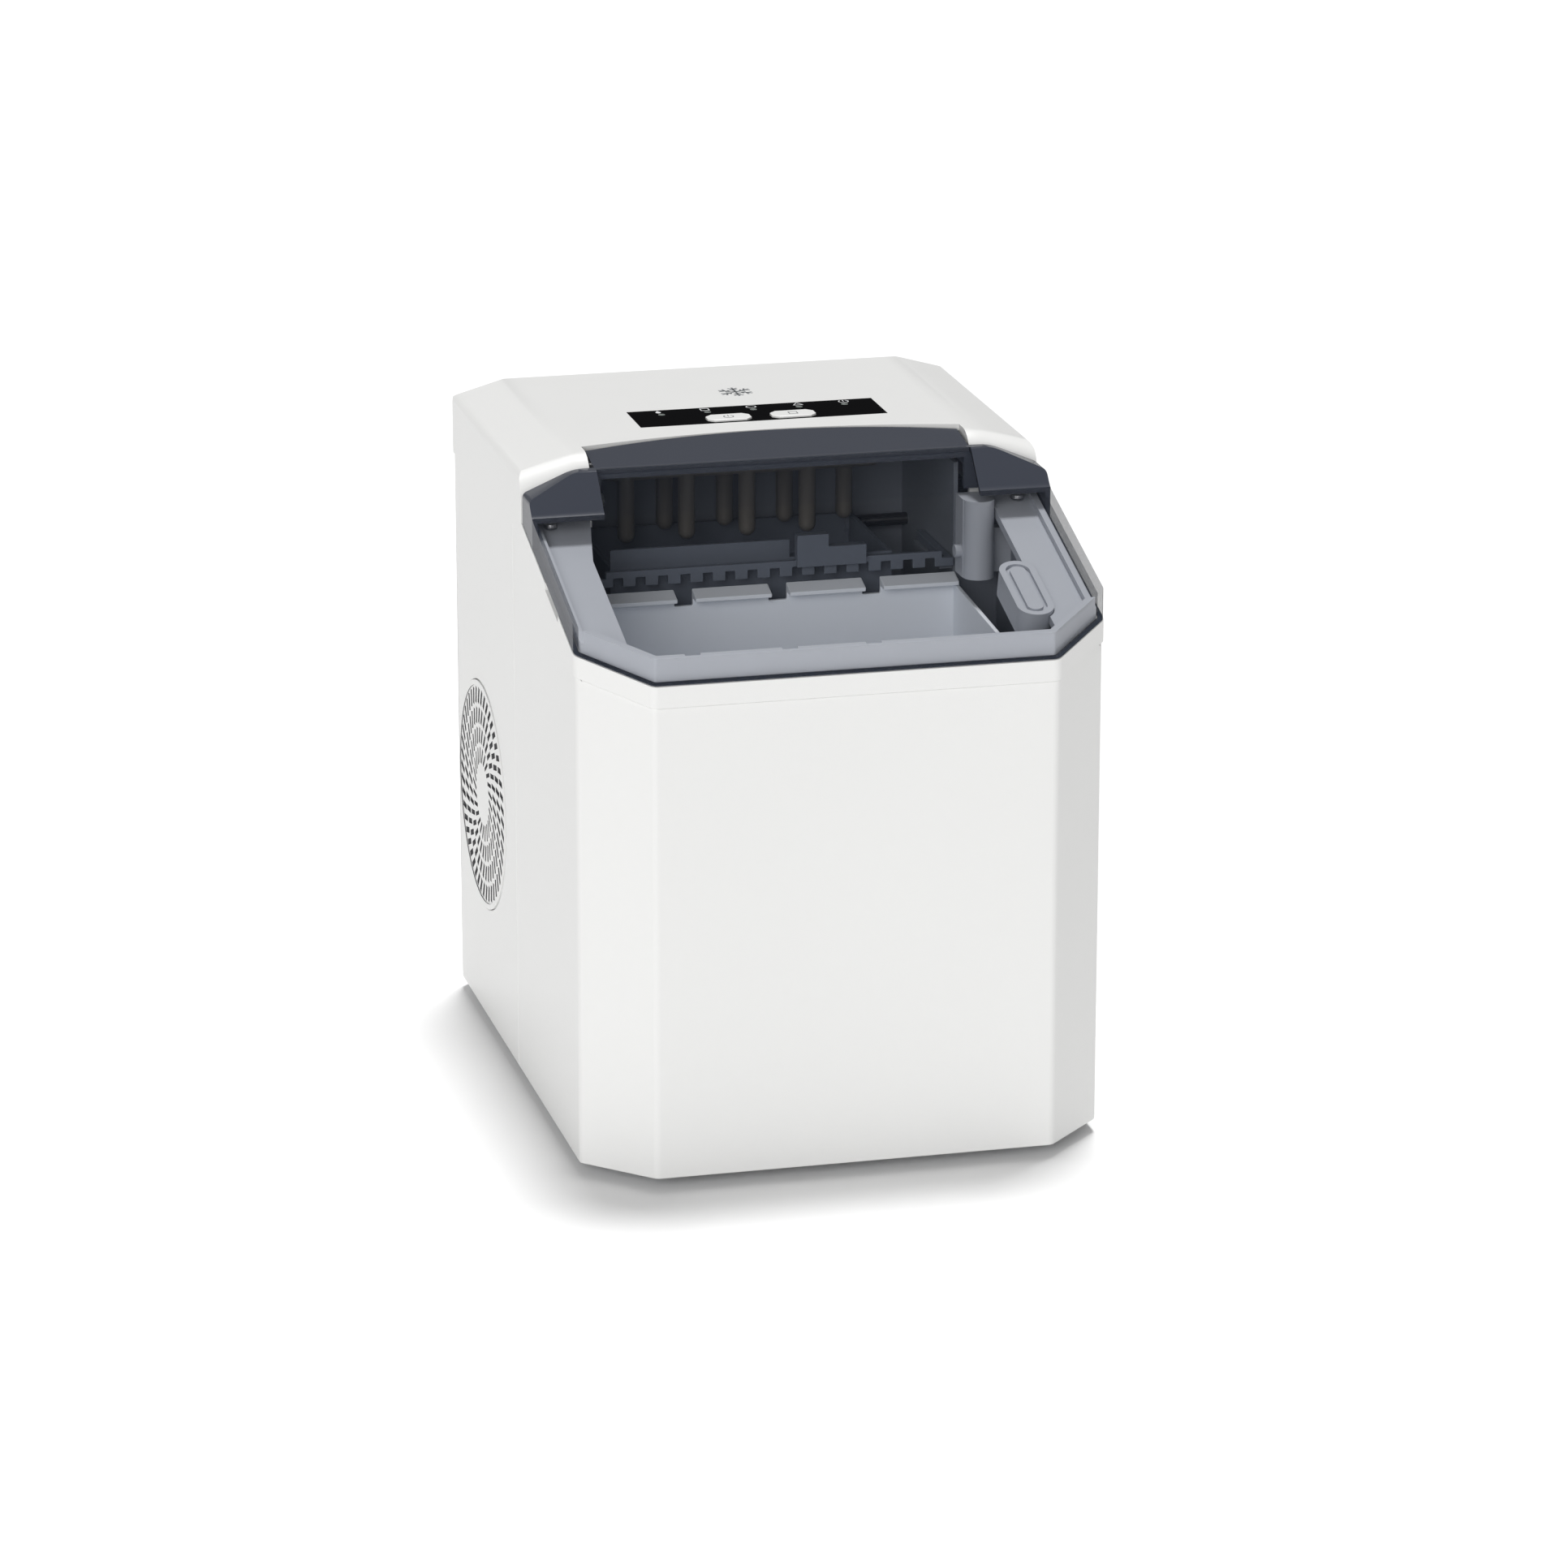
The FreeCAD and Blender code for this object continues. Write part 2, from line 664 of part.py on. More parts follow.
def label_holes():
    top = HEIGHT * 2
    holes = [upright(button_profile(LABEL_X + side * BUTTON_X, BUTTON_GAP), BOARD_Z,
                     top) for side in (-1, 1)]
    radius = LIGHT_RADIUS + LIGHT_FIT
    holes += [Part.makeCylinder(radius, top - BOARD_Z, p) for p in light_points(BOARD_Z)]
    return Part.makeCompound(holes)


def label_sheet(top):
    """Sheet over the label's outline, from the label's underside up to a height."""
    half_x = LABEL_WIDTH / 2
    half_y = LABEL_DEPTH / 2
    return box(LABEL_X - half_x, LABEL_X + half_x, LABEL_Y - half_y, LABEL_Y + half_y,
               HEIGHT - LABEL_THICK, top)


def make_controls():
    export("control_label", label_sheet(HEIGHT).cut(label_holes()))
    board_top = BOARD_Z + BOARD_THICK
    half_x = LABEL_WIDTH / 2 + BOARD_MARGIN
    half_y = LABEL_DEPTH / 2 + BOARD_MARGIN
    board = box(LABEL_X - half_x, LABEL_X + half_x, LABEL_Y - half_y, LABEL_Y + half_y, BOARD_Z, board_top)
    stem_low = board_top + SWITCH_GAP + BUTTON_TRAVEL + SWITCH_GAP
    pieces = [board]
    for side in (-1, 1):
        x = LABEL_X + side * BUTTON_X
        half = SWITCH_SIDE / 2
        pieces.append(box(x - half, x + half, BUTTON_Y - half, BUTTON_Y + half, board_top,
                          board_top + SWITCH_GAP))
    for sx in (-1, 1):
        for sy in (-1, 1):
            spot = vec(LABEL_X + sx * (half_x - STEM_RADIUS * 2), LABEL_Y + sy * (half_y - STEM_RADIUS),
                       board_top)
            pieces.append(Part.makeCylinder(STEM_RADIUS, HEIGHT - ROOF - board_top, spot))
    export("control_board", fuse(pieces))
    for name, side in (("power_button", -1), ("select_button", 1)):
        x = LABEL_X + side * BUTTON_X
        cap = upright(button_profile(x, 0), HEIGHT - ROOF, HEIGHT + BUTTON_PROUD)
        top_edges = [e for e in cap.Edges if abs(e.CenterOfMass.z - HEIGHT - BUTTON_PROUD) < TOUCH]
        cap = cap.makeFillet(BUTTON_PROUD / 2, top_edges)
        stem = Part.makeCylinder(STEM_RADIUS, HEIGHT - ROOF - stem_low, vec(x, BUTTON_Y, stem_low))
        export(name, cap.fuse(stem))
    lights = [Part.makeCylinder(LIGHT_RADIUS, HEIGHT - board_top, p) for p in light_points(board_top)]
    export("indicator_lights", Part.makeCompound(lights))


# ---------------------------------------------------------------- bezel and liner

def bezel_opening(shrink, z0, z1):
    """Opening of the bezel, open at the back where it meets the cover's step."""
    waist = OPENING_HALF - shrink
    rear = OPENING_REAR_HALF - shrink
    back = STEP_Y - shrink
    front = FRONT_Y
    profile = [(-rear, back), (-waist, OPENING_WAIST_Y), (-waist, front), (waist, front), (waist, back)]
    shape = upright(profile, z0, z1)
    return shape.common(case_prism(OPENING_FRONT_INSET + shrink, z0, z1))


def sensor_body(grow):
    length = SENSOR_LENGTH + grow * 2
    width = SENSOR_WIDTH + grow * 2
    radius = width / 2
    straight = length - width
    core = box(-radius, radius, -straight / 2, straight / 2, -SENSOR_HEIGHT, 0)
    ends = [Part.makeCylinder(radius, SENSOR_HEIGHT, vec(0, side * straight / 2, -SENSOR_HEIGHT))
            for side in (-1, 1)]
    return fuse([core] + ends)


def place_on_seat(shape, x, y, lift):
    shape.rotate(vec(0, 0, 0), vec(1, 0, 0), math.degrees(math.atan(SEAT_SLOPE)))
    shape.translate(vec(x, y, seat_z(y) + lift))
    return shape


def flank_screw_points():
    return [vec(side * FLANK_SCREW_X, FLANK_SCREW_Y, seat_z(FLANK_SCREW_Y)) for side in (-1, 1)]


def make_bezel():
    """Grey frame on the seat, with a rim, a collar into the opening and two flank screws."""
    outer_inset = LID_SHEET - LID_PROUD + BEZEL_FIT
    back = STEP_Y - SEAM_GAP
    body = case_prism(outer_inset, 0, HEIGHT)
    rim_top = LID_SKIRT - LID_SHEET - BEZEL_RIM_GAP
    plate = body.common(seat_layer(0, BEZEL_PLATE, FRONT_Y, back))
    inner = case_prism(outer_inset + BEZEL_RIM, 0, HEIGHT)
    side_rim = body.cut(inner).common(seat_layer(0, BEZEL_SIDE_RIM, FRONT_Y, back))
    front_limit = FRONT_Y + FRONT_CHAMFER
    front_rim = body.cut(inner).common(seat_layer(0, rim_top, FRONT_Y, front_limit))
    collar = bezel_opening(-BEZEL_COLLAR_WALL, 0, HEIGHT)
    collar = collar.common(seat_layer(-BEZEL_COLLAR, BEZEL_PLATE, FRONT_Y, back))
    collar = collar.common(case_prism(COVER_OPENING_INSET + SEAM_GAP, 0, HEIGHT).fuse(
        seat_layer(0, BEZEL_PLATE, FRONT_Y, back)))
    collar = collar.common(box(-COVER_OPENING_HALF + SEAM_GAP, COVER_OPENING_HALF - SEAM_GAP,
                               FRONT_Y, STEP_Y - WALL - SEAM_GAP, 0, HEIGHT))
    bezel = fuse([plate, side_rim, front_rim, collar])
    bezel = bezel.cut(bezel_opening(0, 0, HEIGHT))
    bezel = bezel.cut(place_on_seat(sensor_body(SEAM_GAP), SENSOR_X, SENSOR_Y, SENSOR_PROUD))
    # hook slots along the top of the front rim
    for x in RIM_SLOT_X:
        ledge = seat_z(FRONT_Y + outer_inset + BEZEL_RIM) + rim_top
        bezel = bezel.cut(box(x - RIM_SLOT_WIDTH / 2, x + RIM_SLOT_WIDTH / 2,
                              FRONT_Y + outer_inset + BEZEL_RIM / 2,
                              FRONT_Y + FRONT_CHAMFER, ledge - RIM_SLOT_DEPTH, HEIGHT))
    screws = []
    for point in flank_screw_points():
        bezel = bezel.cut(rod(FLANK_SCREW_RADIUS + SEAM_GAP, point + vec(0, 0, BEZEL_PLATE / 2),
                              point + vec(0, 0, BEZEL_PLATE * 2)))
        screws.append(rod(FLANK_SCREW_RADIUS, point + vec(0, 0, BEZEL_PLATE),
                          point + vec(0, 0, BEZEL_PLATE + FLANK_SCREW_RADIUS / 2)))
    export("bezel_frame", bezel)
    export("bezel_screws", Part.makeCompound(screws))


def make_sensor():
    body = sensor_body(0)
    ring = sensor_body(-SENSOR_SLOT)
    core = sensor_body(-SENSOR_CORE_INSET)
    slot = ring.cut(core)
    slot.translate(vec(0, 0, SENSOR_HEIGHT - SENSOR_SLOT / 2))
    body = body.cut(slot)
    export("ice_sensor_housing", place_on_seat(body, SENSOR_X, SENSOR_Y, SENSOR_PROUD))


def make_liner():
    """Water basin under the basket and the ice-making bay behind it, then the foam round them."""
    top = HEIGHT
    basin_outer = case_prism(LINER_INSET, BASIN_FLOOR_Z, top).common(
        box(-LINER_HALF, LINER_HALF, FRONT_Y, BASIN_BACK_Y, 0, top))
    inner_half = LINER_HALF - LINER_WALL
    basin_inner = case_prism(LINER_INSET + LINER_WALL, BASIN_FLOOR_Z + LINER_WALL, top * 2).common(
        box(-inner_half, inner_half, FRONT_Y, BASIN_BACK_Y - LINER_WALL, 0, top * 2))
    bay_back = BASIN_BACK_Y + BAY_DEPTH
    bay_outer = box(-BAY_HALF, BAY_HALF, BASIN_BACK_Y - LINER_WALL, bay_back, BAY_FLOOR_Z, BAY_TOP_Z)
    bay_half = BAY_HALF - LINER_WALL
    bay_inner = box(-bay_half, bay_half, BASIN_BACK_Y - LINER_WALL * 2, bay_back - LINER_WALL,
                    BAY_FLOOR_Z + LINER_WALL, top * 2)
    liner = basin_outer.fuse(bay_outer)
    liner = liner.cut(basin_inner).cut(bay_inner)
    liner = liner.cut(box(-WIDTH, WIDTH, STEP_Y, REAR_Y, BAY_TOP_Z, top * 2))
    liner = liner.cut(above_seat(-WALL, STEP_Y + WALL))
    behind_step = box(-WIDTH, WIDTH, STEP_Y + WALL, BASIN_BACK_Y + WALL, seat_z(STEP_Y) - WALL * 2, top)
    liner = liner.cut(behind_step.cut(box(-BAY_HALF, BAY_HALF, STEP_Y, REAR_Y, 0, top)))
    flange = case_prism(WALL + SEAM_GAP, 0, top).common(
        seat_layer(-WALL - LINER_FLANGE, -WALL, FRONT_Y, STEP_Y))
    flange = flange.cut(basin_inner)
    rails = []
    for side in (-1, 1):
        near = side * bay_half
        far = side * SHOVEL_END
        rails.append(box(min(near, far), max(near, far), BASIN_BACK_Y, BASIN_BACK_Y + RAIL_LENGTH,
                         SHOVEL_BOTTOM_Z - RUNNING_GAP - LINER_WALL, SHOVEL_BOTTOM_Z - RUNNING_GAP))
        for y in (BASKET_FRONT_Y + REST_WIDTH, BASIN_BACK_Y - REAR_REST_INSET):
            edge = side * (BASKET_HALF - REST_WIDTH)
            wall = side * (BASKET_HALF + BASKET_RUN_GAP)
            rails.append(box(min(edge, wall), max(edge, wall), y, y + REST_WIDTH, BASIN_FLOOR_Z,
                             BASKET_REST_Z))
    liner = fuse([liner, flange] + rails)
    hose = vec(HOSE_X, HOSE_Y, BAY_FLOOR_Z - WALL)
    liner = liner.cut(rod(HOSE_RADIUS + SEAM_GAP / 2, hose, hose + vec(0, 0, WALL * 4)))
    shaft = hinge_line(TRAY_PIVOT_Y, TRAY_PIVOT_Z, SHAFT_RADIUS + PIN_FIT / 2, WIDTH)
    liner = liner.cut(shaft.common(box(-WIDTH, WIDTH, BASIN_BACK_Y, REAR_Y, 0, top)))
    drain = rod(PLUG_RADIUS + DRAIN_WALL, vec(PLUG_X, PLUG_Y, DECK_Z + SEAM_GAP),
                vec(PLUG_X, PLUG_Y, BASIN_FLOOR_Z))
    bore = rod(PLUG_RADIUS + RUNNING_GAP, vec(PLUG_X, PLUG_Y, 0),
               vec(PLUG_X, PLUG_Y, BASIN_FLOOR_Z + WALL * 2))
    liner = liner.fuse(drain).cut(bore)
    export("inner_liner", liner)
    foam_outer = case_prism(WALL + FOAM_GAP, BASIN_FLOOR_Z - FOAM_DEPTH_BELOW, top).common(
        box(-WIDTH, WIDTH, FRONT_Y, BASIN_BACK_Y, 0, top))
    foam = foam_outer.cut(case_prism(LINER_INSET - FOAM_GAP, BASIN_FLOOR_Z - FOAM_GAP, top * 2).common(
        box(-LINER_HALF - FOAM_GAP, LINER_HALF + FOAM_GAP, FRONT_Y, REAR_Y, 0, top * 2)))
    foam = foam.cut(above_seat(-WALL - LINER_FLANGE - FOAM_GAP, REAR_Y))
    foam = foam.cut(above_seam(-COVER_SKIRT))
    hole = rod(PLUG_RADIUS + DRAIN_WALL + FOAM_GAP, vec(PLUG_X, PLUG_Y, 0),
               vec(PLUG_X, PLUG_Y, BASIN_FLOOR_Z))
    export("foam_insulation", foam.cut(hole))


def hinge_line(y, z, radius, reach):
    return rod(radius, vec(-reach, y, z), vec(reach, y, z))


# ---------------------------------------------------------------- lid

def lid_side(shrink):
    """Bar with the lid's side profile, from the skirt's foot over the hump's foot to its brow."""
    front = FRONT_Y - LID_PROUD * 2
    rear = STEP_Y - LID_REAR_GAP - shrink
    base = LID_SEAT_GAP - shrink * HOLLOW_OVERRUN
    skirt = LID_SKIRT - shrink
    brow = HUMP_TOP_Z - shrink
    strip_y = STEP_Y - LID_REAR_GAP - BROW_STRIP
    foot_z = seat_z(HUMP_FOOT_Y) + skirt
    side = across([(front, seat_z(front) + base), (rear, seat_z(rear) + base), (rear, brow),
                   (strip_y, brow),
                   (HUMP_FOOT_Y, foot_z), (front, seat_z(front) + skirt)], -WIDTH, WIDTH)
    side = rounded(side, BROW_ROUND, y=strip_y, z=brow)
    return rounded(side, HUMP_FOOT_BLEND + shrink, y=HUMP_FOOT_Y, z=foot_z)


def shoulders(shrink):
    """Bar with the lid's profile seen from the front: flat in the middle, falling to both sides."""
    half = HALF_W + LID_PROUD
    top = HUMP_TOP_Z - shrink
    low = top - SHOULDER_DROP
    bar = along([(-half, 0), (-half, low), (-SHOULDER_INNER, top), (SHOULDER_INNER, top), (half, low),
                 (half, 0)],
                FRONT_Y * 2, REAR_Y)
    for side in (-1, 1):
        bar = rounded(bar, SHOULDER_BLEND, x=side * SHOULDER_INNER, z=top)
        bar = rounded(bar, SHOULDER_ROUND, x=side * half, z=low)
    return bar


def hump_brow(shrink, half):
    """Crown behind the brow, ending in the bowed rear edge."""
    front = STEP_Y - LID_REAR_GAP
    rear = REAR_Y / 2
    base = CHEEK_BOTTOM_Z - shrink * HOLLOW_OVERRUN
    first = HUMP_TOP_Z - shrink
    last = first + HUMP_SLOPE * (rear - front)
    block = across([(front, base), (rear, base), (rear, last), (front, first)], -half, half)
    return block.cut(bow_cutter(-shrink, 0, HEIGHT * 2))


def make_lid():
    """Smoked window, the solid crown and corners that carry it, and its hinge pins."""
    outer = lid_side(0).common(case_prism(-LID_PROUD, 0, HEIGHT * 2)).common(shoulders(0))
    inner = lid_side(LID_SHEET).common(case_prism(LID_SHEET - LID_PROUD, 0, HEIGHT * 2))
    inner = inner.common(shoulders(LID_SHEET))
    crown = hump_brow(0, HUMP_HALF)
    crown_inner = hump_brow(LID_SHEET, HUMP_HALF - CHEEK_WALL)
    shell = outer.fuse(crown).cut(inner).cut(crown_inner)
    # the rear wall stops above the bezel's rim
    above_rim = BEZEL_SIDE_RIM + BEZEL_RIM_GAP
    shell = shell.cut(case_prism(LID_SHEET - LID_PROUD, 0,
                                 HEIGHT).common(seat_layer(-WALL, above_rim, FRONT_Y, PIVOT_Y)))
    # keep the passage from the sloping part into the crown open
    passage = box(-HUMP_HALF + CHEEK_WALL, HUMP_HALF - CHEEK_WALL, STEP_Y - LID_REAR_GAP - LID_SHEET,
                  PIVOT_Y - PIN_RADIUS * 4, 0, HUMP_TOP_Z - LID_SHEET * 2)
    shell = shell.cut(passage)
    brow_y = STEP_Y - LID_REAR_GAP
    corners = box(HUMP_HALF, WIDTH, HUMP_FOOT_Y, brow_y + WALL, 0, HEIGHT * 2)
    rear_strip = box(-HUMP_HALF - WALL, HUMP_HALF + WALL, brow_y - WALL, REAR_Y, 0, HEIGHT * 2)
    region = fuse([corners, mirrored(corners), rear_strip])
    frame = shell.common(region)
    window = shell.cut(region)
    frame = frame.cut(hinge_bore(PIN_RADIUS + PIN_FIT, WIDTH))
    export("lid_frame", frame)
    export("lid_window", window)
    notch_half = HUMP_HALF + HUMP_SIDE_GAP
    pins = []
    for side in (-1, 1):
        end = side * (notch_half + PIN_LENGTH - HUMP_SIDE_GAP)
        start = side * (HUMP_HALF - CHEEK_WALL)
        pins.append(rod(PIN_RADIUS, vec(start, PIVOT_Y, PIVOT_Z), vec(end, PIVOT_Y, PIVOT_Z)))
    export("lid_hinge_pins", Part.makeCompound(pins))


# ---------------------------------------------------------------- basket

def basket_prism(inset, z0, z1):
    half = BASKET_HALF - inset
    front = BASKET_FRONT_Y + inset
    rear = BASIN_BACK_Y - LINER_WALL - BASKET_BACK_GAP - inset
    cut = chamfer_side(BASKET_CORNER, inset)
    profile = [(-half, rear), (-half, front + cut), (-half + cut, front),
               (half - cut, front), (half, front + cut), (half, rear)]
    return upright(profile, z0, z1)


def make_basket():
    """Lift-out basket with four catch lips at the back and drain slots in its floor."""
    bottom = BASKET_REST_Z + BASKET_RUN_GAP
    rear = BASIN_BACK_Y - LINER_WALL - BASKET_BACK_GAP
    shell = basket_prism(0, bottom, BASKET_BACK_TOP_Z)
    shell = shell.cut(basket_prism(BASKET_WALL, bottom + BASKET_WALL, HEIGHT))
    slope = [(FRONT_Y, BASKET_FRONT_TOP_Z), (rear - BASKET_WALL * 2, BASKET_BACK_TOP_Z - WALL),
             (rear - BASKET_WALL * 2, HEIGHT), (FRONT_Y, HEIGHT)]
    shell = shell.cut(across(slope, -WIDTH, WIDTH))
    lip_profile = [(rear, BASKET_BACK_TOP_Z + LIP_RISE), (rear - LIP_DEPTH, BASKET_BACK_TOP_Z),
                   (rear - LIP_DEPTH, BASKET_BACK_TOP_Z - LIP_THICK), (rear, BASKET_BACK_TOP_Z - LIP_THICK)]
    span = (2 * BASKET_HALF - BASKET_WALL - LIP_NOTCH * (LIP_COUNT - 1)) / LIP_COUNT
    start = -BASKET_HALF + BASKET_WALL / 2
    lips = []
    for index in range(LIP_COUNT):
        x = start + index * (span + LIP_NOTCH)
        lips.append(across(lip_profile, x, x + span))
    basket = fuse([shell] + lips)
    cuts = []
    for index in range(1, LIP_COUNT):
        x = start + index * (span + LIP_NOTCH) - LIP_NOTCH
        cuts.append(box(x, x + LIP_NOTCH, rear - LIP_DEPTH, rear + WALL, BASKET_BACK_TOP_Z - WALL * 2,
                        HEIGHT))
    y = BASKET_FRONT_Y + DRAIN_SLOT_PITCH * 2
    while y < rear - DRAIN_SLOT_PITCH:
        for side in (-1, 0, 1):
            x = side * (DRAIN_SLOT_LENGTH + DRAIN_SLOT_PITCH)
            cuts.append(box(x - DRAIN_SLOT_LENGTH / 2, x + DRAIN_SLOT_LENGTH / 2, y, y + DRAIN_SLOT_WIDTH,
                            0, bottom + WALL * 2))
        y += DRAIN_SLOT_PITCH
    export("ice_basket", basket.cut(Part.makeCompound(cuts)))


# ---------------------------------------------------------------- ice making

def make_tray():
    """Open water tray with a splash wall in front and ears for its pivot."""
    outer = box(TRAY_LEFT, TRAY_RIGHT, TRAY_FRONT_Y, TRAY_BACK_Y, TRAY_BOTTOM_Z, TRAY_TOP_Z)
    inner = box(TRAY_LEFT + TRAY_WALL, TRAY_RIGHT - TRAY_WALL, TRAY_FRONT_Y + TRAY_WALL,
                TRAY_BACK_Y - TRAY_WALL, TRAY_BOTTOM_Z + TRAY_WALL, HEIGHT)
    splash = box(TRAY_LEFT, SPLASH_RIGHT, TRAY_FRONT_Y, TRAY_FRONT_Y + TRAY_WALL, TRAY_BOTTOM_Z,
                 SPLASH_TOP_Z)
    pieces = [outer.cut(inner), splash]
    for x in (TRAY_LEFT, TRAY_RIGHT - TRAY_EAR_THICK):
        centre = vec(x, TRAY_PIVOT_Y, TRAY_PIVOT_Z)
        ear = rod(TRAY_EAR, centre, centre + vec(TRAY_EAR_THICK, 0, 0))
        web = box(x, x + TRAY_EAR_THICK, TRAY_BACK_Y - TRAY_WALL, TRAY_PIVOT_Y,
                  TRAY_PIVOT_Z - TRAY_EAR, TRAY_PIVOT_Z + TRAY_EAR)
        pieces += [ear, web.common(box(x, x + TRAY_EAR_THICK, TRAY_BACK_Y - TRAY_WALL, REAR_Y,
                                       TRAY_BOTTOM_Z, TRAY_TOP_Z))]
    tray = fuse(pieces).cut(hinge_line(TRAY_PIVOT_Y, TRAY_PIVOT_Z, SHAFT_RADIUS + PIN_FIT, WIDTH))
    export("water_tray", tray)
    pin = rod(SHAFT_RADIUS, vec(-BAY_HALF, TRAY_PIVOT_Y, TRAY_PIVOT_Z),
              vec(TRAY_LEFT + TRAY_EAR_THICK, TRAY_PIVOT_Y, TRAY_PIVOT_Z))
    export("tray_pivot_pin", pin)


def make_shovel():
    """Comb that pushes the ice into the basket, on two arms, with a stepped bracket."""
    back = SHOVEL_FRONT_Y + SHOVEL_THICK
    comb = box(-SHOVEL_END, SHOVEL_END, SHOVEL_FRONT_Y, back, SHOVEL_BOTTOM_Z, SHOVEL_TOP_Z)
    slots = []
    count = int(2 * SHOVEL_END / COMB_PITCH)
    for index in range(count):
        x = (index - (count - 1) / 2) * COMB_PITCH
        slots.append(box(x - COMB_SLOT / 2, x + COMB_SLOT / 2, SHOVEL_FRONT_Y - WALL, back + WALL,
                         SHOVEL_BOTTOM_Z, SHOVEL_BOTTOM_Z + COMB_SLOT_HEIGHT))
    comb = comb.cut(Part.makeCompound(slots))
    limit = BAY_HALF - LINER_WALL - RUNNING_GAP
    arms = []
    for side in (-1, 1):
        near = side * (limit - SHOVEL_ARM)
        far = side * limit
        arms.append(box(min(near, far), max(near, far), SHOVEL_FRONT_Y, SHOVEL_FRONT_Y + SHOVEL_ARM_LENGTH,
                        SHOVEL_BOTTOM_Z, SHOVEL_BOTTOM_Z + SHOVEL_ARM_HEIGHT))
        tie = side * (SHOVEL_END - WALL)
        arms.append(box(min(tie, far), max(tie, far), SHOVEL_FRONT_Y, back, SHOVEL_BOTTOM_Z,
                        SHOVEL_BOTTOM_Z + SHOVEL_ARM_HEIGHT))
    front = SHOVEL_FRONT_Y - BRACKET_PROUD
    bracket_low = SHOVEL_BOTTOM_Z + COMB_SLOT_HEIGHT + RUNNING_GAP
    bracket = [box(BRACKET_LEFT, BRACKET_STEP_X, front, back, bracket_low, BRACKET_TOP_Z),
               box(BRACKET_STEP_X, BRACKET_RIGHT, front, back, bracket_low, BRACKET_STEP_Z)]
    export("ice_shovel", fuse([comb] + arms + bracket))


def make_evaporator():
    """Two rows of cold fingers under a tube loop, hung from the bay's top."""
    back_y = FINGER_FRONT_Y + FINGER_ROW_GAP
    left = FINGER_START_X - FINGER_RADIUS * 2
    right = FINGER_START_X + FINGER_STAGGER + FINGER_PITCH * (FINGERS_PER_ROW - 1) + FINGER_RADIUS * 2
    exit_y = BASIN_BACK_Y + BAY_DEPTH + WALL * 2
    rise_y = back_y + EVAP_TUBE_RADIUS * 3
    line_z = BAY_TOP_Z + EVAP_TUBE_RADIUS + SEAM_GAP
    second = left + EVAP_TUBE_RADIUS * 4
    loop = run_of_tube(EVAP_TUBE_RADIUS, [
        vec(left, exit_y, line_z), vec(left, rise_y, line_z), vec(left, back_y, EVAP_TUBE_Z),
        vec(left, FINGER_FRONT_Y, EVAP_TUBE_Z), vec(right, FINGER_FRONT_Y, EVAP_TUBE_Z),
        vec(right, back_y, EVAP_TUBE_Z), vec(second, back_y, EVAP_TUBE_Z),
        vec(second, rise_y, line_z), vec(second, exit_y, line_z)])
    fingers = []
    for row in range(2):
        y = FINGER_FRONT_Y + row * FINGER_ROW_GAP
        for index in range(FINGERS_PER_ROW):
            x = FINGER_START_X + row * FINGER_STAGGER + index * FINGER_PITCH
            low = FINGER_TIP_Z + FINGER_RADIUS
            fingers.append(rod(FINGER_RADIUS, vec(x, y, low), vec(x, y, EVAP_TUBE_Z)))
            fingers.append(Part.makeSphere(FINGER_RADIUS, vec(x, y, low)))
    hanger_low = BAY_TOP_Z
    hanger = box(-BAY_HALF, BAY_HALF, FINGER_FRONT_Y, FINGER_FRONT_Y + FINGER_ROW_GAP / 2,
                 hanger_low, hanger_low + HANGER_THICK)
    strap_x = (left + right) / 2
    strap = box(strap_x - FINGER_RADIUS, strap_x + FINGER_RADIUS, FINGER_FRONT_Y,
                FINGER_FRONT_Y + FINGER_RADIUS,
                EVAP_TUBE_Z, hanger_low)
    export("evaporator", fuse([loop, hanger, strap] + fingers))
    return vec(left, exit_y, line_z), vec(second, exit_y, line_z)


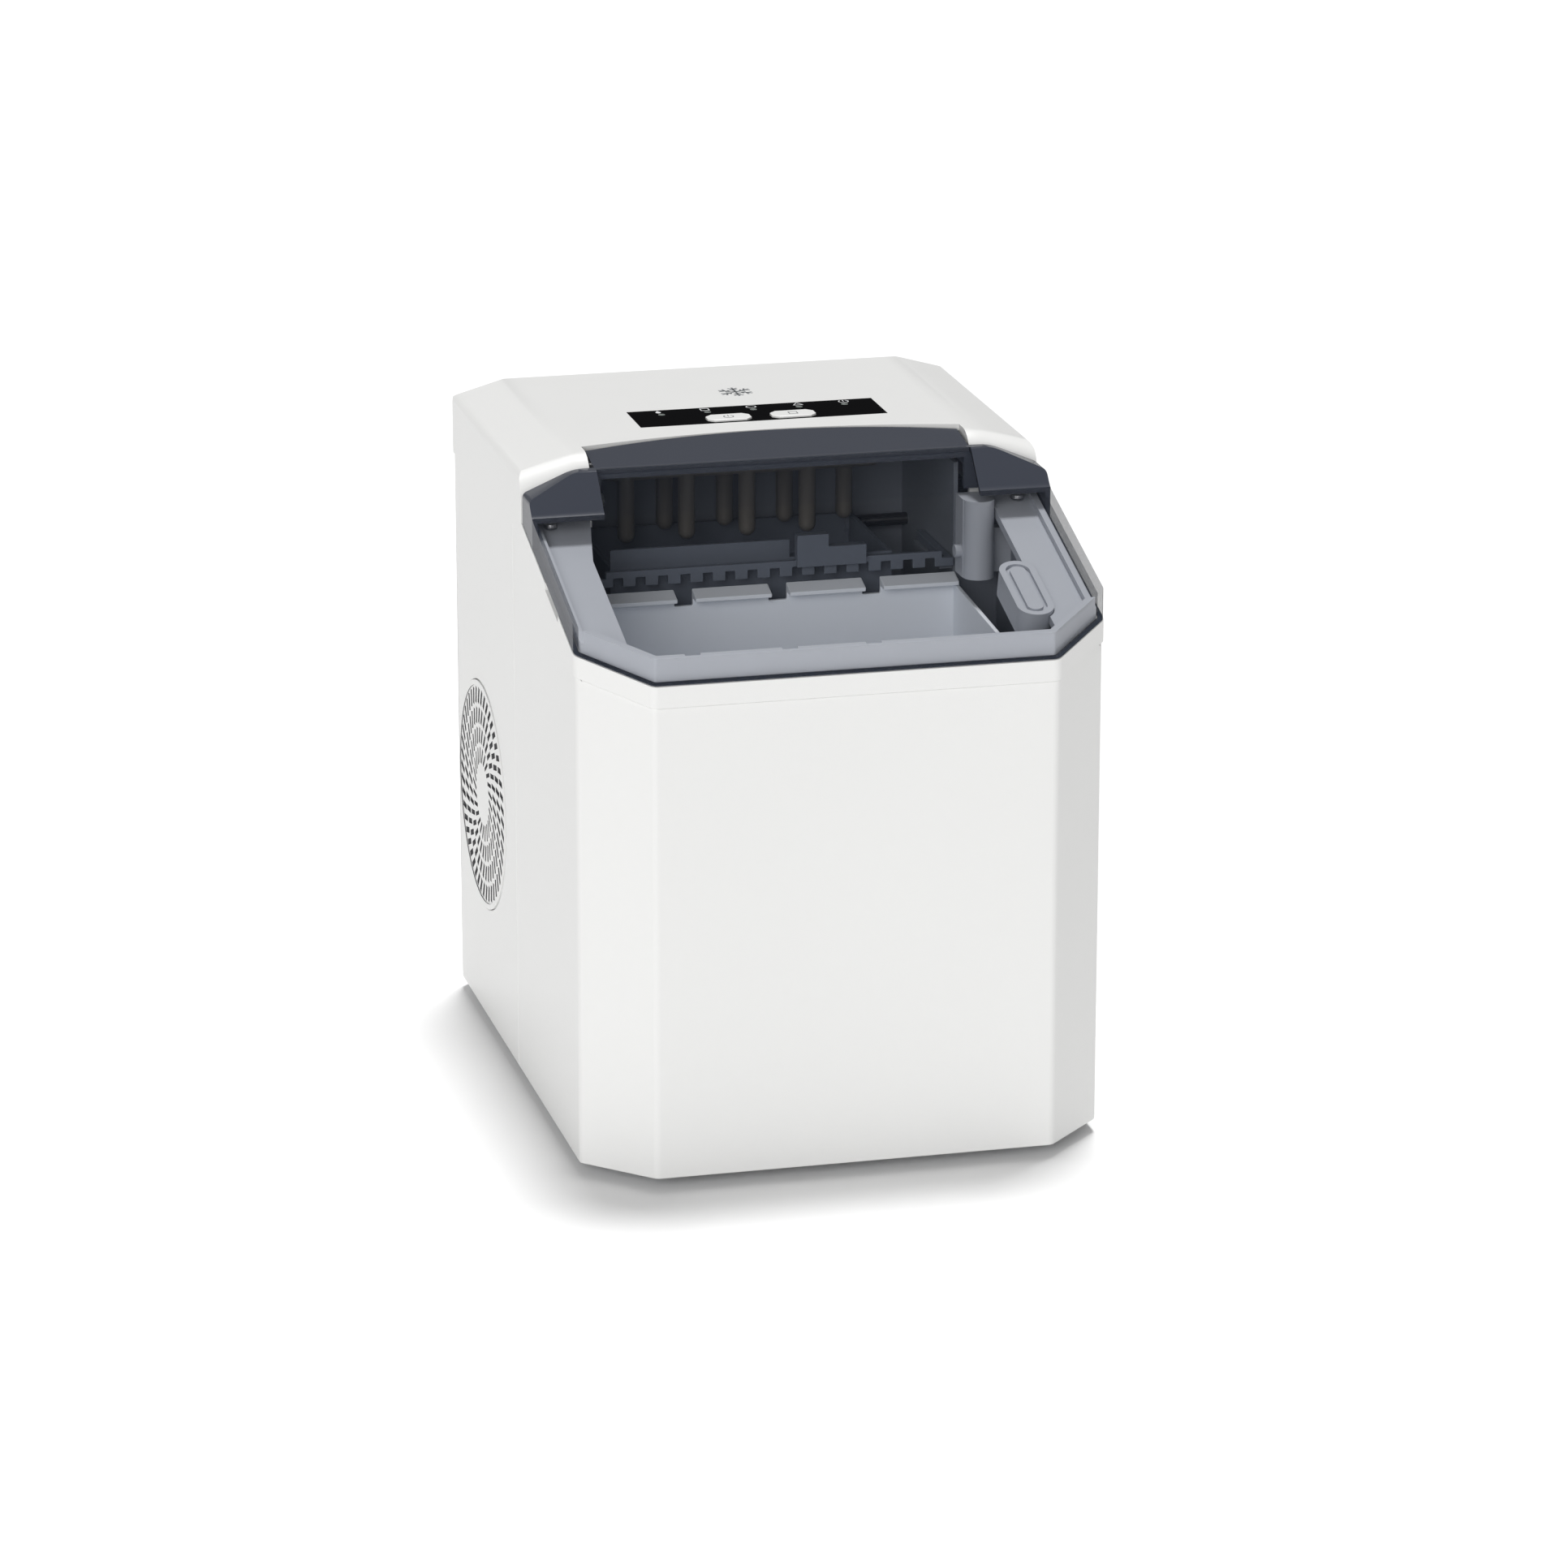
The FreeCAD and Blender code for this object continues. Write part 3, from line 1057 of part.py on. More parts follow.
def make_drive():
    """Gear motor on the bay's right wall, and the cover over the linkage beside the basket."""
    low = TRAY_PIVOT_Z - GEARBOX_DEPTH / 2
    case = box(BAY_HALF, BAY_HALF + GEARBOX_WIDTH, TRAY_PIVOT_Y - GEARBOX_DEPTH / 2,
               TRAY_PIVOT_Y + GEARBOX_DEPTH / 2, low, low + GEARBOX_DEPTH)
    long_edges = [e for e in case.Edges if abs(e.Vertexes[0].X - e.Vertexes[-1].X) > TOUCH]
    case = case.makeFillet(GEARBOX_ROUND, long_edges)
    shaft = rod(SHAFT_RADIUS, vec(TRAY_RIGHT - TRAY_EAR_THICK, TRAY_PIVOT_Y, TRAY_PIVOT_Z),
                vec(BAY_HALF + WALL, TRAY_PIVOT_Y, TRAY_PIVOT_Z))
    motor = rod(GEAR_MOTOR_RADIUS, vec(BAY_HALF + GEARBOX_WIDTH / 2, TRAY_PIVOT_Y, low - GEAR_MOTOR_LENGTH),
                vec(BAY_HALF + GEARBOX_WIDTH / 2, TRAY_PIVOT_Y, low))
    export("gear_motor", fuse([case, shaft, motor]))
    radius = (GEAR_COVER_RIGHT - GEAR_COVER_LEFT) / 2
    top = seat_z(GEAR_COVER_FRONT) + GEAR_COVER_RISE
    back = STEP_Y - WALL - SEAM_GAP
    centre = vec((GEAR_COVER_LEFT + GEAR_COVER_RIGHT) / 2, GEAR_COVER_FRONT + radius, GEAR_COVER_BOTTOM_Z)
    nose = Part.makeCylinder(radius - SEAM_GAP, top - GEAR_COVER_BOTTOM_Z, centre)
    trunk = box(GEAR_COVER_LEFT, GEAR_COVER_RIGHT - SEAM_GAP, centre.y, back, GEAR_COVER_BOTTOM_Z, top)
    # tab under the bezel that reaches the liner's wall
    tab = box(centre.x, LINER_HALF - LINER_WALL, back - GEAR_TAB_BACK, back, GEAR_COVER_BOTTOM_Z,
              GEAR_TAB_TOP_Z)
    boss = rod(SHAFT_RADIUS, vec(GEAR_COVER_LEFT - SHAFT_RADIUS, centre.y + radius / 2,
                                 GEAR_COVER_BOTTOM_Z + SHAFT_RADIUS * 4),
               vec(GEAR_COVER_LEFT + WALL, centre.y + radius / 2, GEAR_COVER_BOTTOM_Z + SHAFT_RADIUS * 4))
    export("gear_cover", fuse([nose, trunk, tab, boss]))


# ---------------------------------------------------------------- refrigeration

def make_fan():
    start = vec(LEFT_X + WALL + FAN_GRILLE_GAP, FAN_Y, FAN_Z)
    hub = rod(FAN_HUB, start, start + vec(FAN_WIDTH, 0, 0))
    blades = []
    for index in range(FAN_BLADES):
        blade = box(-SHROUD_WALL / 2, SHROUD_WALL / 2, -BLADE_HALF, BLADE_HALF, FAN_HUB / 2, FAN_RADIUS)
        blade.rotate(vec(0, 0, 0), vec(0, 0, 1), FAN_PITCH_DEG)
        blade.rotate(vec(0, 0, 0), vec(1, 0, 0), 360.0 * index / FAN_BLADES)
        blade.translate(start + vec(FAN_WIDTH / 2, 0, 0))
        blades.append(blade)
    sweep = rod(FAN_RADIUS, start - vec(WALL, 0, 0), start + vec(FAN_WIDTH + WALL, 0, 0))
    fan = fuse([hub] + blades).common(sweep)
    bore = rod(SHAFT_RADIUS + PIN_FIT, start - vec(WALL * 2, 0, 0), start + vec(FAN_WIDTH + WALL, 0, 0))
    export("fan_blade", fan.cut(bore))
    face = start + vec(FAN_WIDTH + RUNNING_GAP * 2, 0, 0)
    motor = rod(FAN_MOTOR_RADIUS, face, face + vec(FAN_MOTOR_LENGTH, 0, 0))
    shaft = rod(SHAFT_RADIUS, start, face + vec(WALL, 0, 0))
    export("fan_motor", motor.fuse(shaft))
    return start, face


def make_shroud_and_condenser(start, face):
    ring_radius = FAN_RADIUS + SHROUD_CLEAR
    mouth = vec(LEFT_X + WALL + BEZEL_PLATE / 2, FAN_Y, FAN_Z)
    end = mouth + vec(SHROUD_LENGTH, 0, 0)
    ring = rod(ring_radius + SHROUD_WALL, mouth,
               end).cut(rod(ring_radius, mouth - vec(WALL, 0, 0), end + vec(WALL, 0, 0)))
    half = SHROUD_PLATE / 2
    rear_limit = REAR_Y - WALL * 2 - SEAM_GAP
    plate = box(end.x - SHROUD_WALL, end.x, FAN_Y - half, rear_limit, FAN_Z - half, FAN_Z + half)
    plate = plate.cut(rod(ring_radius, mouth, end + vec(WALL, 0, 0)))
    spider = []
    for turn in (0, 90):
        arm = box(end.x - SHROUD_WALL, end.x, -ring_radius - SHROUD_WALL / 2, ring_radius + SHROUD_WALL / 2,
                  -SPIDER_WIDTH / 2, SPIDER_WIDTH / 2)
        arm.rotate(vec(0, 0, 0), vec(1, 0, 0), turn)
        arm.translate(vec(0, FAN_Y, FAN_Z))
        spider.append(arm)
    motor_space = rod(FAN_MOTOR_RADIUS + PIN_FIT, mouth, end + vec(FAN_MOTOR_LENGTH, 0, 0))
    sleeve = rod(FAN_MOTOR_RADIUS + SHROUD_WALL, end - vec(SHROUD_WALL * 2, 0, 0), end)
    shroud = fuse([ring, plate] + spider + [sleeve]).cut(motor_space)
    feet = []
    for y in (FAN_Y - half, rear_limit - SPIDER_WIDTH):
        feet.append(box(end.x - SHROUD_WALL, end.x, y, y + SPIDER_WIDTH, DECK_Z, FAN_Z - half))
    export("fan_shroud", fuse([shroud] + feet))
    behind = max(end.x, face.x + FAN_MOTOR_LENGTH) + SHROUD_CLEAR
    side = CONDENSER_SIDE / 2
    y0 = FAN_Y - side
    y1 = min(FAN_Y + side, rear_limit) - SHROUD_WALL
    z0 = FAN_Z - side
    z1 = FAN_Z + side
    fins = []
    pitch = (y1 - y0) / CONDENSER_FINS
    for index in range(CONDENSER_FINS + 1):
        y = min(y0 + index * pitch, y1 - SHROUD_WALL / 2)
        fins.append(box(behind, behind + CONDENSER_THICK, y, y + SHROUD_WALL / 2, z0, z1))
    tubes = []
    for row in range(CONDENSER_ROWS):
        z = z0 + (row + 0.5) * (z1 - z0) / CONDENSER_ROWS
        x = behind + CONDENSER_THICK / 2
        tubes.append(rod(TUBE_RADIUS, vec(x, y0, z), vec(x, y1, z)))
    for x in (behind, behind + CONDENSER_THICK - SHROUD_WALL):
        tubes.append(box(x, x + SHROUD_WALL, y0, y1, DECK_Z, z0 + SHROUD_WALL))
    tubes.append(box(behind, behind + CONDENSER_THICK, y0, y1, z0, z0 + SHROUD_WALL))
    tubes.append(box(behind, behind + CONDENSER_THICK, y0, y1, z1 - SHROUD_WALL, z1))
    export("condenser", fuse(fins + tubes))
    return behind


def make_compressor():
    base = vec(COMPRESSOR_X, COMPRESSOR_Y, COMPRESSOR_BOTTOM_Z)
    can = Part.makeCylinder(COMPRESSOR_RADIUS, COMPRESSOR_TOP_Z - COMPRESSOR_BOTTOM_Z, base)
    rims = [e for e in can.Edges if e.Closed]
    can = can.makeFillet(COMPRESSOR_DOME, rims)
    seam_z = (COMPRESSOR_BOTTOM_Z + COMPRESSOR_TOP_Z) / 2
    seam = Part.makeCylinder(COMPRESSOR_RADIUS + COMPRESSOR_WAIST, COMPRESSOR_WAIST,
                             vec(COMPRESSOR_X, COMPRESSOR_Y, seam_z))
    bracket = box(COMPRESSOR_X - BRACKET_HALF, COMPRESSOR_X + BRACKET_HALF, COMPRESSOR_Y - BRACKET_HALF,
                  COMPRESSOR_Y + BRACKET_HALF, COMPRESSOR_BOTTOM_Z - BRACKET_THICK,
                  COMPRESSOR_BOTTOM_Z + BRACKET_THICK)
    holes = []
    grommets = []
    reach = BRACKET_HALF - GROMMET_INSET
    for sx in (-1, 1):
        for sy in (-1, 1):
            spot = vec(COMPRESSOR_X + sx * reach, COMPRESSOR_Y + sy * reach, DECK_Z)
            holes.append(Part.makeCylinder(GROMMET_RADIUS / 2, COMPRESSOR_TOP_Z, spot))
            foot = Part.makeCylinder(GROMMET_RADIUS, COMPRESSOR_BOTTOM_Z - BRACKET_THICK - DECK_Z, spot)
            neck = Part.makeCylinder(GROMMET_RADIUS / 2 - SEAM_GAP / 2,
                                     COMPRESSOR_BOTTOM_Z - DECK_Z + GROMMET_INSET, spot)
            grommets.append(foot.fuse(neck))
    can_lower = can.fuse(seam)
    bracket = bracket.cut(Part.makeCompound(holes))
    export("compressor", fuse([can_lower, bracket]))
    export("compressor_grommets", Part.makeCompound(grommets))


def make_refrigerant_lines(suction_end, liquid_end, condenser_x):
    """Suction, discharge and liquid lines, the filter drier and the capillary."""
    top = COMPRESSOR_TOP_Z
    line_z = suction_end.z
    lane = suction_end.y + TUBE_RADIUS * 2
    thin_lane = lane + TUBE_RADIUS * 3
    suction = run_of_tube(TUBE_RADIUS, [
        vec(suction_end.x, suction_end.y, line_z), vec(suction_end.x, lane, line_z),
        vec(suction_end.x, lane, BAY_FLOOR_Z - PUMP_RADIUS),
        vec(COMPRESSOR_X, lane, BAY_FLOOR_Z - PUMP_RADIUS), vec(COMPRESSOR_X, lane, top)])
    discharge_x = condenser_x + CONDENSER_THICK / 2
    upper = FAN_Z + CONDENSER_SIDE / 2
    discharge = run_of_tube(TUBE_RADIUS, [
        vec(COMPRESSOR_X - COMPRESSOR_DOME, COMPRESSOR_Y, top), vec(COMPRESSOR_X - COMPRESSOR_DOME,
                                                                    COMPRESSOR_Y, top + WALL * 4),
        vec(discharge_x, COMPRESSOR_Y, upper + TUBE_RADIUS * 2), vec(discharge_x, COMPRESSOR_Y, upper)])
    drier_top = DRIER_BOTTOM_Z + DRIER_LENGTH
    drier = Part.makeCylinder(DRIER_RADIUS, DRIER_LENGTH, vec(DRIER_X, DRIER_Y, DRIER_BOTTOM_Z))
    drier = drier.makeChamfer(DRIER_RADIUS / 2, [e for e in drier.Edges if e.Closed])
    liquid_z = FAN_Z - CONDENSER_SIDE / 2 + TUBE_RADIUS * 3
    feed = run_of_tube(TUBE_RADIUS, [
        vec(condenser_x + CONDENSER_THICK, DRIER_Y, liquid_z),
        vec(condenser_x + CONDENSER_THICK + DRIER_RADIUS, DRIER_Y,
            liquid_z), vec(DRIER_X, DRIER_Y, DRIER_BOTTOM_Z - DRIER_RADIUS),
        vec(DRIER_X, DRIER_Y, DRIER_BOTTOM_Z + TUBE_RADIUS)])
    capillary = run_of_tube(CAPILLARY_RADIUS, [
        vec(DRIER_X, DRIER_Y, drier_top - WALL), vec(DRIER_X, DRIER_Y, drier_top + DRIER_RADIUS),
        vec(liquid_end.x, thin_lane, BAY_FLOOR_Z - PUMP_RADIUS), vec(liquid_end.x, thin_lane,
                                                                     line_z), liquid_end])
    export("filter_drier", drier)
    export("suction_line", suction)
    export("discharge_line", discharge)
    export("liquid_lines", Part.makeCompound([feed.cut(drier), capillary.cut(drier)]))


# ---------------------------------------------------------------- water and power

def make_water_parts():
    spot = vec(PUMP_X, PUMP_Y, DECK_Z)
    pump = Part.makeCylinder(PUMP_RADIUS, PUMP_HEIGHT, spot)
    flange = box(PUMP_X - PUMP_FLANGE, PUMP_X + PUMP_FLANGE, PUMP_Y - PUMP_RADIUS, PUMP_Y + PUMP_RADIUS,
                 DECK_Z, DECK_Z + WALL)
    inlet_z = BASIN_FLOOR_Z + LINER_WALL + HOSE_RADIUS * 2
    inlet = rod(HOSE_RADIUS, vec(PUMP_X, BASIN_BACK_Y, inlet_z), vec(PUMP_X, PUMP_Y, inlet_z))
    riser = rod(HOSE_RADIUS, vec(PUMP_X, PUMP_Y, DECK_Z + PUMP_HEIGHT),
                vec(PUMP_X, PUMP_Y, inlet_z + WALL * 2))
    export("water_pump", fuse([pump, flange, inlet, riser]))
    bend_z = BAY_FLOOR_Z - PUMP_RADIUS
    hose = run_of_tube(HOSE_RADIUS, [
        vec(PUMP_X, PUMP_Y, inlet_z + WALL * 2), vec(PUMP_X, PUMP_Y, bend_z),
        vec(HOSE_X, HOSE_Y, BAY_FLOOR_Z - HOSE_RADIUS * 2), vec(HOSE_X, HOSE_Y, HOSE_TOP_Z),
        vec(TRAY_LEFT + HOSE_RADIUS * 3, TRAY_BACK_Y - HOSE_RADIUS * 3, HOSE_TOP_Z)])
    export("fill_hose", hose)
    plug = rod(PLUG_RADIUS, vec(PLUG_X, PLUG_Y, FOOT_HEIGHT - SEAM_GAP),
               vec(PLUG_X, PLUG_Y, BASIN_FLOOR_Z / 2))
    head = rod(PLUG_HEAD, vec(PLUG_X, PLUG_Y, FOOT_HEIGHT - SEAM_GAP - PLUG_HEAD_THICK),
               vec(PLUG_X, PLUG_Y, FOOT_HEIGHT - SEAM_GAP))
    export("drain_plug", plug.fuse(head))


def make_power_box():
    outer = box(POWER_LEFT, POWER_LEFT + POWER_WIDTH, REAR_Y - WALL * 2 - POWER_DEPTH, REAR_Y - WALL * 2,
                POWER_BOTTOM_Z, POWER_BOTTOM_Z + POWER_HEIGHT)
    edges = [e for e in outer.Edges if abs(e.CenterOfMass.y - (REAR_Y - WALL * 2 - POWER_DEPTH)) < TOUCH]
    export("power_box", outer.makeFillet(WALL, edges))


def foot_points():
    return [vec(side * FOOT_X, y, 0) for side in (-1, 1) for y in (FOOT_FRONT_Y, FOOT_REAR_Y)]


def make_base():
    gap = WALL + SEAM_GAP
    pan = case_prism(gap, FOOT_HEIGHT, DECK_Z + PAN_RIM)
    pan = pan.cut(case_prism(gap + PAN_THICK, DECK_Z, HEIGHT))
    holes = [Part.makeCylinder(FOOT_STUD, HEIGHT, p) for p in foot_points()]
    holes.append(rod(PLUG_RADIUS + RUNNING_GAP, vec(PLUG_X, PLUG_Y, 0), vec(PLUG_X, PLUG_Y, DECK_Z + WALL)))
    export("base_pan", pan.cut(Part.makeCompound(holes)))
    feet = []
    for point in foot_points():
        pad = Part.makeCylinder(FOOT_RADIUS, FOOT_HEIGHT, point)
        pad = pad.makeChamfer(FOOT_BEVEL, [e for e in pad.Edges if e.Closed and e.CenterOfMass.z < TOUCH])
        stud = Part.makeCylinder(FOOT_STUD, FOOT_HEIGHT + PAN_THICK, point)
        feet.append(pad.fuse(stud))
    export("rubber_feet", Part.makeCompound(feet))


def build():
    make_base()
    make_case()
    make_fan_grille()
    make_rear_panel()
    make_top_cover()
    make_controls()
    make_bezel()
    make_sensor()
    make_liner()
    make_lid()
    make_basket()
    make_tray()
    make_shovel()
    suction_end, liquid_end = make_evaporator()
    make_drive()
    start, face = make_fan()
    condenser_x = make_shroud_and_condenser(start, face)
    make_compressor()
    make_refrigerant_lines(suction_end, liquid_end, condenser_x)
    make_water_parts()
    make_power_box()


build()
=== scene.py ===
import json
import math

import bmesh
import bpy
from mathutils import Matrix, Vector


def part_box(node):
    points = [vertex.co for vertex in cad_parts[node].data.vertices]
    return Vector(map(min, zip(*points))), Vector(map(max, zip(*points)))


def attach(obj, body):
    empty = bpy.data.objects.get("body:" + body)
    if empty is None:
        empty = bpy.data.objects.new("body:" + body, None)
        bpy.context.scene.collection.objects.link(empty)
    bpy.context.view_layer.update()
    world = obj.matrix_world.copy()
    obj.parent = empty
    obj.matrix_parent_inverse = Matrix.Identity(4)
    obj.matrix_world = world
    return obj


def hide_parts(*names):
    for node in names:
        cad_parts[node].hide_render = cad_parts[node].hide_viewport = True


bl_info = {
    "name": "Countertop ice maker finishes",
    "version": (1, 0, 0),
    "blender": (4, 5, 0),
    "location": "View3D > Sidebar > Ice maker",
    "description": "Finishes, marks and studio for a countertop bullet ice maker",
    "category": "Object",
}

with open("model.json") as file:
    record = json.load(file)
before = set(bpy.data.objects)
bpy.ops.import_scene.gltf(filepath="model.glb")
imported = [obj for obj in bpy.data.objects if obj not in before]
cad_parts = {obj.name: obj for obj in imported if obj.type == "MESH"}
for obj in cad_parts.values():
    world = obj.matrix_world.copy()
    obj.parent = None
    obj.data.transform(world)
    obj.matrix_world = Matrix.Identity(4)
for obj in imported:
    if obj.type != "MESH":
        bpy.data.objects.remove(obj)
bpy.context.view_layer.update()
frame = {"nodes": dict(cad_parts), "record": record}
NODES = frame["nodes"]
BEHAVIOUR = frame["record"]["behaviour"]
BODY_OF = {name: body for body, names in BEHAVIOUR["bodies"].items() for name in names}

MM = 0.001
MERGE = 0.002 * MM
SHARP_ANGLE = math.radians(32)
EDGE_SEGMENTS = 2
FACE_WEIGHT = 80
PART_EDGE = 0.4 * MM
SMALL_EDGE = 0.3 * MM
BEZEL_EDGE = 0.5 * MM
SLOT_WALL_TILT = 0.5

# The seat is the sloping plane that the lid's skirt rests on: its rise per length, and its height at y = 0.
SEAT_SLOPE = 0.29
SEAT_HEIGHT = 279.87 * MM
SEAT_BLEND = MM / 2
EDGE_ON_START = 0.55
EDGE_ON_END = 0.78
WINDOW_GRAIN = 60
WINDOW_ROUGHNESS = (0.04, 0.10)

GRAIN_DETAIL = 3
STREAK_DETAIL = 4
STREAK_STRETCH = 14.0
STREAK_SHARE = 0.6
DRIFT_SCALE = 6
NOISE_MIDDLE = 0.5
BUMP_DEPTH = 0.4 * MM
COAT_ROUGHNESS = 0.08
ROUGHNESS_FLOOR = 0.02

ICON_STROKE = 0.1
ICON_RISE = 1.05
ICON_SPREAD = 0.98
DROP = ((0, 1), (-0.55, -0.1), (-0.45, -0.7), (0, -1), (0.45, -0.7), (0.55, -0.1))
TRIANGLE = ((-1, -0.8), (1, -0.8), (0, 1))
SQUARE = ((-1, -1), (1, -1), (1, 1), (-1, 1))
CUBE_SIZE = 0.42
RING_STEPS = 16
POWER_STEPS = 14
POWER_GAP = 0.6
POWER_BAR = 0.55
FLAKE_ARMS = 6
FLAKE_STROKE = 0.055
FLAKE_TWIGS = ((0.62, 0.26, 0.86), (0.34, 0.20, 0.54))
FLAKE_STAND_OFF = 1.6

FLOOR_REACH = 14.0
SENSOR_WIDTH = 36
CLIP_END = 100

# Finishes of the parts whose looks are not among the settings.
PLAIN = {
    "pin_steel": {"colour": (0.58, 0.58, 0.59), "roughness": 0.30, "grain": 300, "streak": 900,
                  "bump": 0.05, "metallic": 1.0},
    "evaporator_plate": {"colour": (0.20, 0.185, 0.165), "roughness": 0.34, "grain": 400, "streak": 200,
                         "drift": 0.25, "bump": 0.06, "metallic": 0.4},
    "black_rubber": {"colour": (0.025, 0.025, 0.026), "roughness": 0.75, "grain": 1500, "drift": 0.10,
                     "bump": 0.20},
    "black_enamel": {"colour": (0.02, 0.02, 0.022), "roughness": 0.22, "grain": 120, "drift": 0.10,
                     "bump": 0.04, "coat": 0.4},
    "copper_line": {"colour": (0.60, 0.28, 0.15), "roughness": 0.30, "grain": 250, "drift": 0.25,
                    "bump": 0.03, "metallic": 1.0},
    "aluminium_fins": {"colour": (0.70, 0.71, 0.73), "roughness": 0.35, "grain": 500, "streak": 700,
                       "bump": 0.05, "metallic": 1.0},
    "galvanised_pan": {"colour": (0.50, 0.51, 0.52), "roughness": 0.40, "grain": 90, "drift": 0.30,
                       "bump": 0.03, "metallic": 0.8},
    "machine_grey": {"colour": (0.55, 0.55, 0.53), "roughness": 0.50, "grain": 900, "drift": 0.08,
                     "bump": 0.08},
    "foam_white": {"colour": (0.75, 0.75, 0.72), "roughness": 0.90, "grain": 260, "drift": 0.10,
                   "bump": 0.50},
    "clear_hose": {"colour": (0.60, 0.62, 0.62), "roughness": 0.25, "grain": 300, "drift": 0.05,
                   "bump": 0.02, "sockets": {"Transmission Weight": 0.3}},
    "board_green": {"colour": (0.03, 0.14, 0.07), "roughness": 0.40, "grain": 600, "drift": 0.2,
                    "bump": 0.05},
    "label_black": {"colour": (0.006, 0.006, 0.0065), "roughness": 0.25, "grain": 700, "drift": 0.1,
                    "bump": 0.01, "gloss": 0.0},
    "button_white": {"colour": (0.82, 0.82, 0.81), "roughness": 0.34, "grain": 1200, "drift": 0.03,
                     "bump": 0.04, "coat": 0.2},
    "light_lens": {"colour": (0.30, 0.34, 0.32), "roughness": 0.15, "grain": 400, "drift": 0.1,
                   "bump": 0.01, "sockets": {"Transmission Weight": 0.4}},
    "printed_white": {"colour": (0.70, 0.71, 0.72), "roughness": 0.5, "grain": 900, "drift": 0.1,
                      "bump": 0.05},
    "printed_grey": {"colour": (0.16, 0.17, 0.18), "roughness": 0.5, "grain": 900, "drift": 0.1,
                     "bump": 0.05},
    "studio_paper": {"colour": (0.98, 0.98, 0.98), "roughness": 0.9, "grain": 40, "drift": 0.0,
                     "bump": 0.0, "gloss": 0.0},
}

# Deck and base: finish, the nodes that get softly broken edges, and the nodes that keep their shape.
DECK = (
    ("black_rubber", ("rubber_feet", "cable_gland", "drain_plug"), ("compressor_grommets",)),
    ("black_enamel", (), ("compressor", "fan_motor", "gear_motor")),
    ("copper_line", (), ("suction_line", "discharge_line", "liquid_lines", "filter_drier")),
    ("aluminium_fins", (), ("condenser",)),
    ("galvanised_pan", ("base_pan",), ()),
    ("machine_grey", (), ("water_pump", "power_box")),
    ("foam_white", (), ("foam_insulation",)),
    ("clear_hose", (), ("fill_hose",)),
    ("board_green", (), ("control_board",)),
)


# ---------------------------------------------------------------- settings

class CaseSettings(bpy.types.PropertyGroup):
    """Colours and edge sizes of the white case"""
    white: bpy.props.FloatVectorProperty(
        name="Case white", description="Colour of the moulded case", subtype="COLOR",
        size=3, min=0, max=1, default=(0.76, 0.76, 0.75))
    edge: bpy.props.FloatProperty(
        name="Case edge", description="Radius broken on the case's sharp edges",
        default=0.7 * MM, unit="LENGTH", precision=4)
    # Painted shade: the dark grey put on the walls of the intake grille's slots in place of the shade
    # inside them.
    slot_shade_grey: bpy.props.FloatVectorProperty(
        name="Painted slot shade", description="Colour inside the slots of the intake grille",
        subtype="COLOR", size=3, min=0, max=1, default=(0.10, 0.10, 0.105))
    grille_rim: bpy.props.FloatProperty(
        name="Grille rim", description="Width of the grille's edge that stays white",
        default=4.5 * MM, unit="LENGTH", precision=4)
    roughness: bpy.props.FloatProperty(
        name="Case roughness", description="Roughness of the satin moulding", default=0.42, min=0, max=1)


class LidSettings(bpy.types.PropertyGroup):
    """Tint and gloss of the lid"""
    tint: bpy.props.FloatVectorProperty(
        name="Smoke tint", description="Colour of the smoked window", subtype="COLOR",
        size=3, min=0, max=1, default=(0.035, 0.042, 0.058))
    density: bpy.props.FloatProperty(
        name="Smoke density", description="Share of light each face of the sloping sheet holds back",
        default=0.09, min=0, max=1)
    skirt_density: bpy.props.FloatProperty(
        name="Skirt density", description="Share of light each face of the upright skirt holds back",
        default=0.03, min=0, max=1)
    edge_density: bpy.props.FloatProperty(
        name="Edge-on density", description="Share of light a face seen edge on holds back",
        default=0.70, min=0, max=1)
    # Painted shadow: a nearly opaque dark band along the skirt's lower edge stands in for the shadow in the
    # seam between lid and case.
    seam_shadow_density: bpy.props.FloatProperty(
        name="Rim density", description="Share of light the skirt's lower edge holds back",
        default=0.92, min=0, max=1)
    gloss: bpy.props.FloatProperty(
        name="Window gloss", description="Strength of the window's reflection", default=0.05, min=0, max=1)
    # Height of the painted seam shadow band above the seat.
    seam_shadow_height: bpy.props.FloatProperty(
        name="Rim height", description="Height of the dark lower edge above the seat",
        default=0.55 * MM, unit="LENGTH", precision=4)
    sheet_height: bpy.props.FloatProperty(
        name="Sheet height", description="Height above the seat where the sloping sheet starts",
        default=13.0 * MM, unit="LENGTH", precision=4)
    frame_colour: bpy.props.FloatVectorProperty(
        name="Lid frame", description="Colour of the crown and shoulders", subtype="COLOR",
        size=3, min=0, max=1, default=(0.045, 0.050, 0.065))
    edge: bpy.props.FloatProperty(
        name="Lid edge", description="Radius on the lid's moulded edges",
        default=0.8 * MM, unit="LENGTH", precision=4)


class InteriorSettings(bpy.types.PropertyGroup):
    """Colours inside the ice compartment"""
    bezel: bpy.props.FloatVectorProperty(
        name="Bezel grey", description="Colour of the silver-grey bezel", subtype="COLOR",
        size=3, min=0, max=1, default=(0.41, 0.43, 0.475))
    liner: bpy.props.FloatVectorProperty(
        name="Liner grey", description="Colour of the compartment liner", subtype="COLOR",
        size=3, min=0, max=1, default=(0.17, 0.185, 0.215))
    basket: bpy.props.FloatVectorProperty(
        name="Basket grey", description="Colour of the ice basket", subtype="COLOR",
        size=3, min=0, max=1, default=(0.76, 0.79, 0.84))
    dark_parts: bpy.props.FloatVectorProperty(
        name="Dark parts", description="Colour of the tray, comb and fan", subtype="COLOR",
        size=3, min=0, max=1, default=(0.115, 0.13, 0.16))


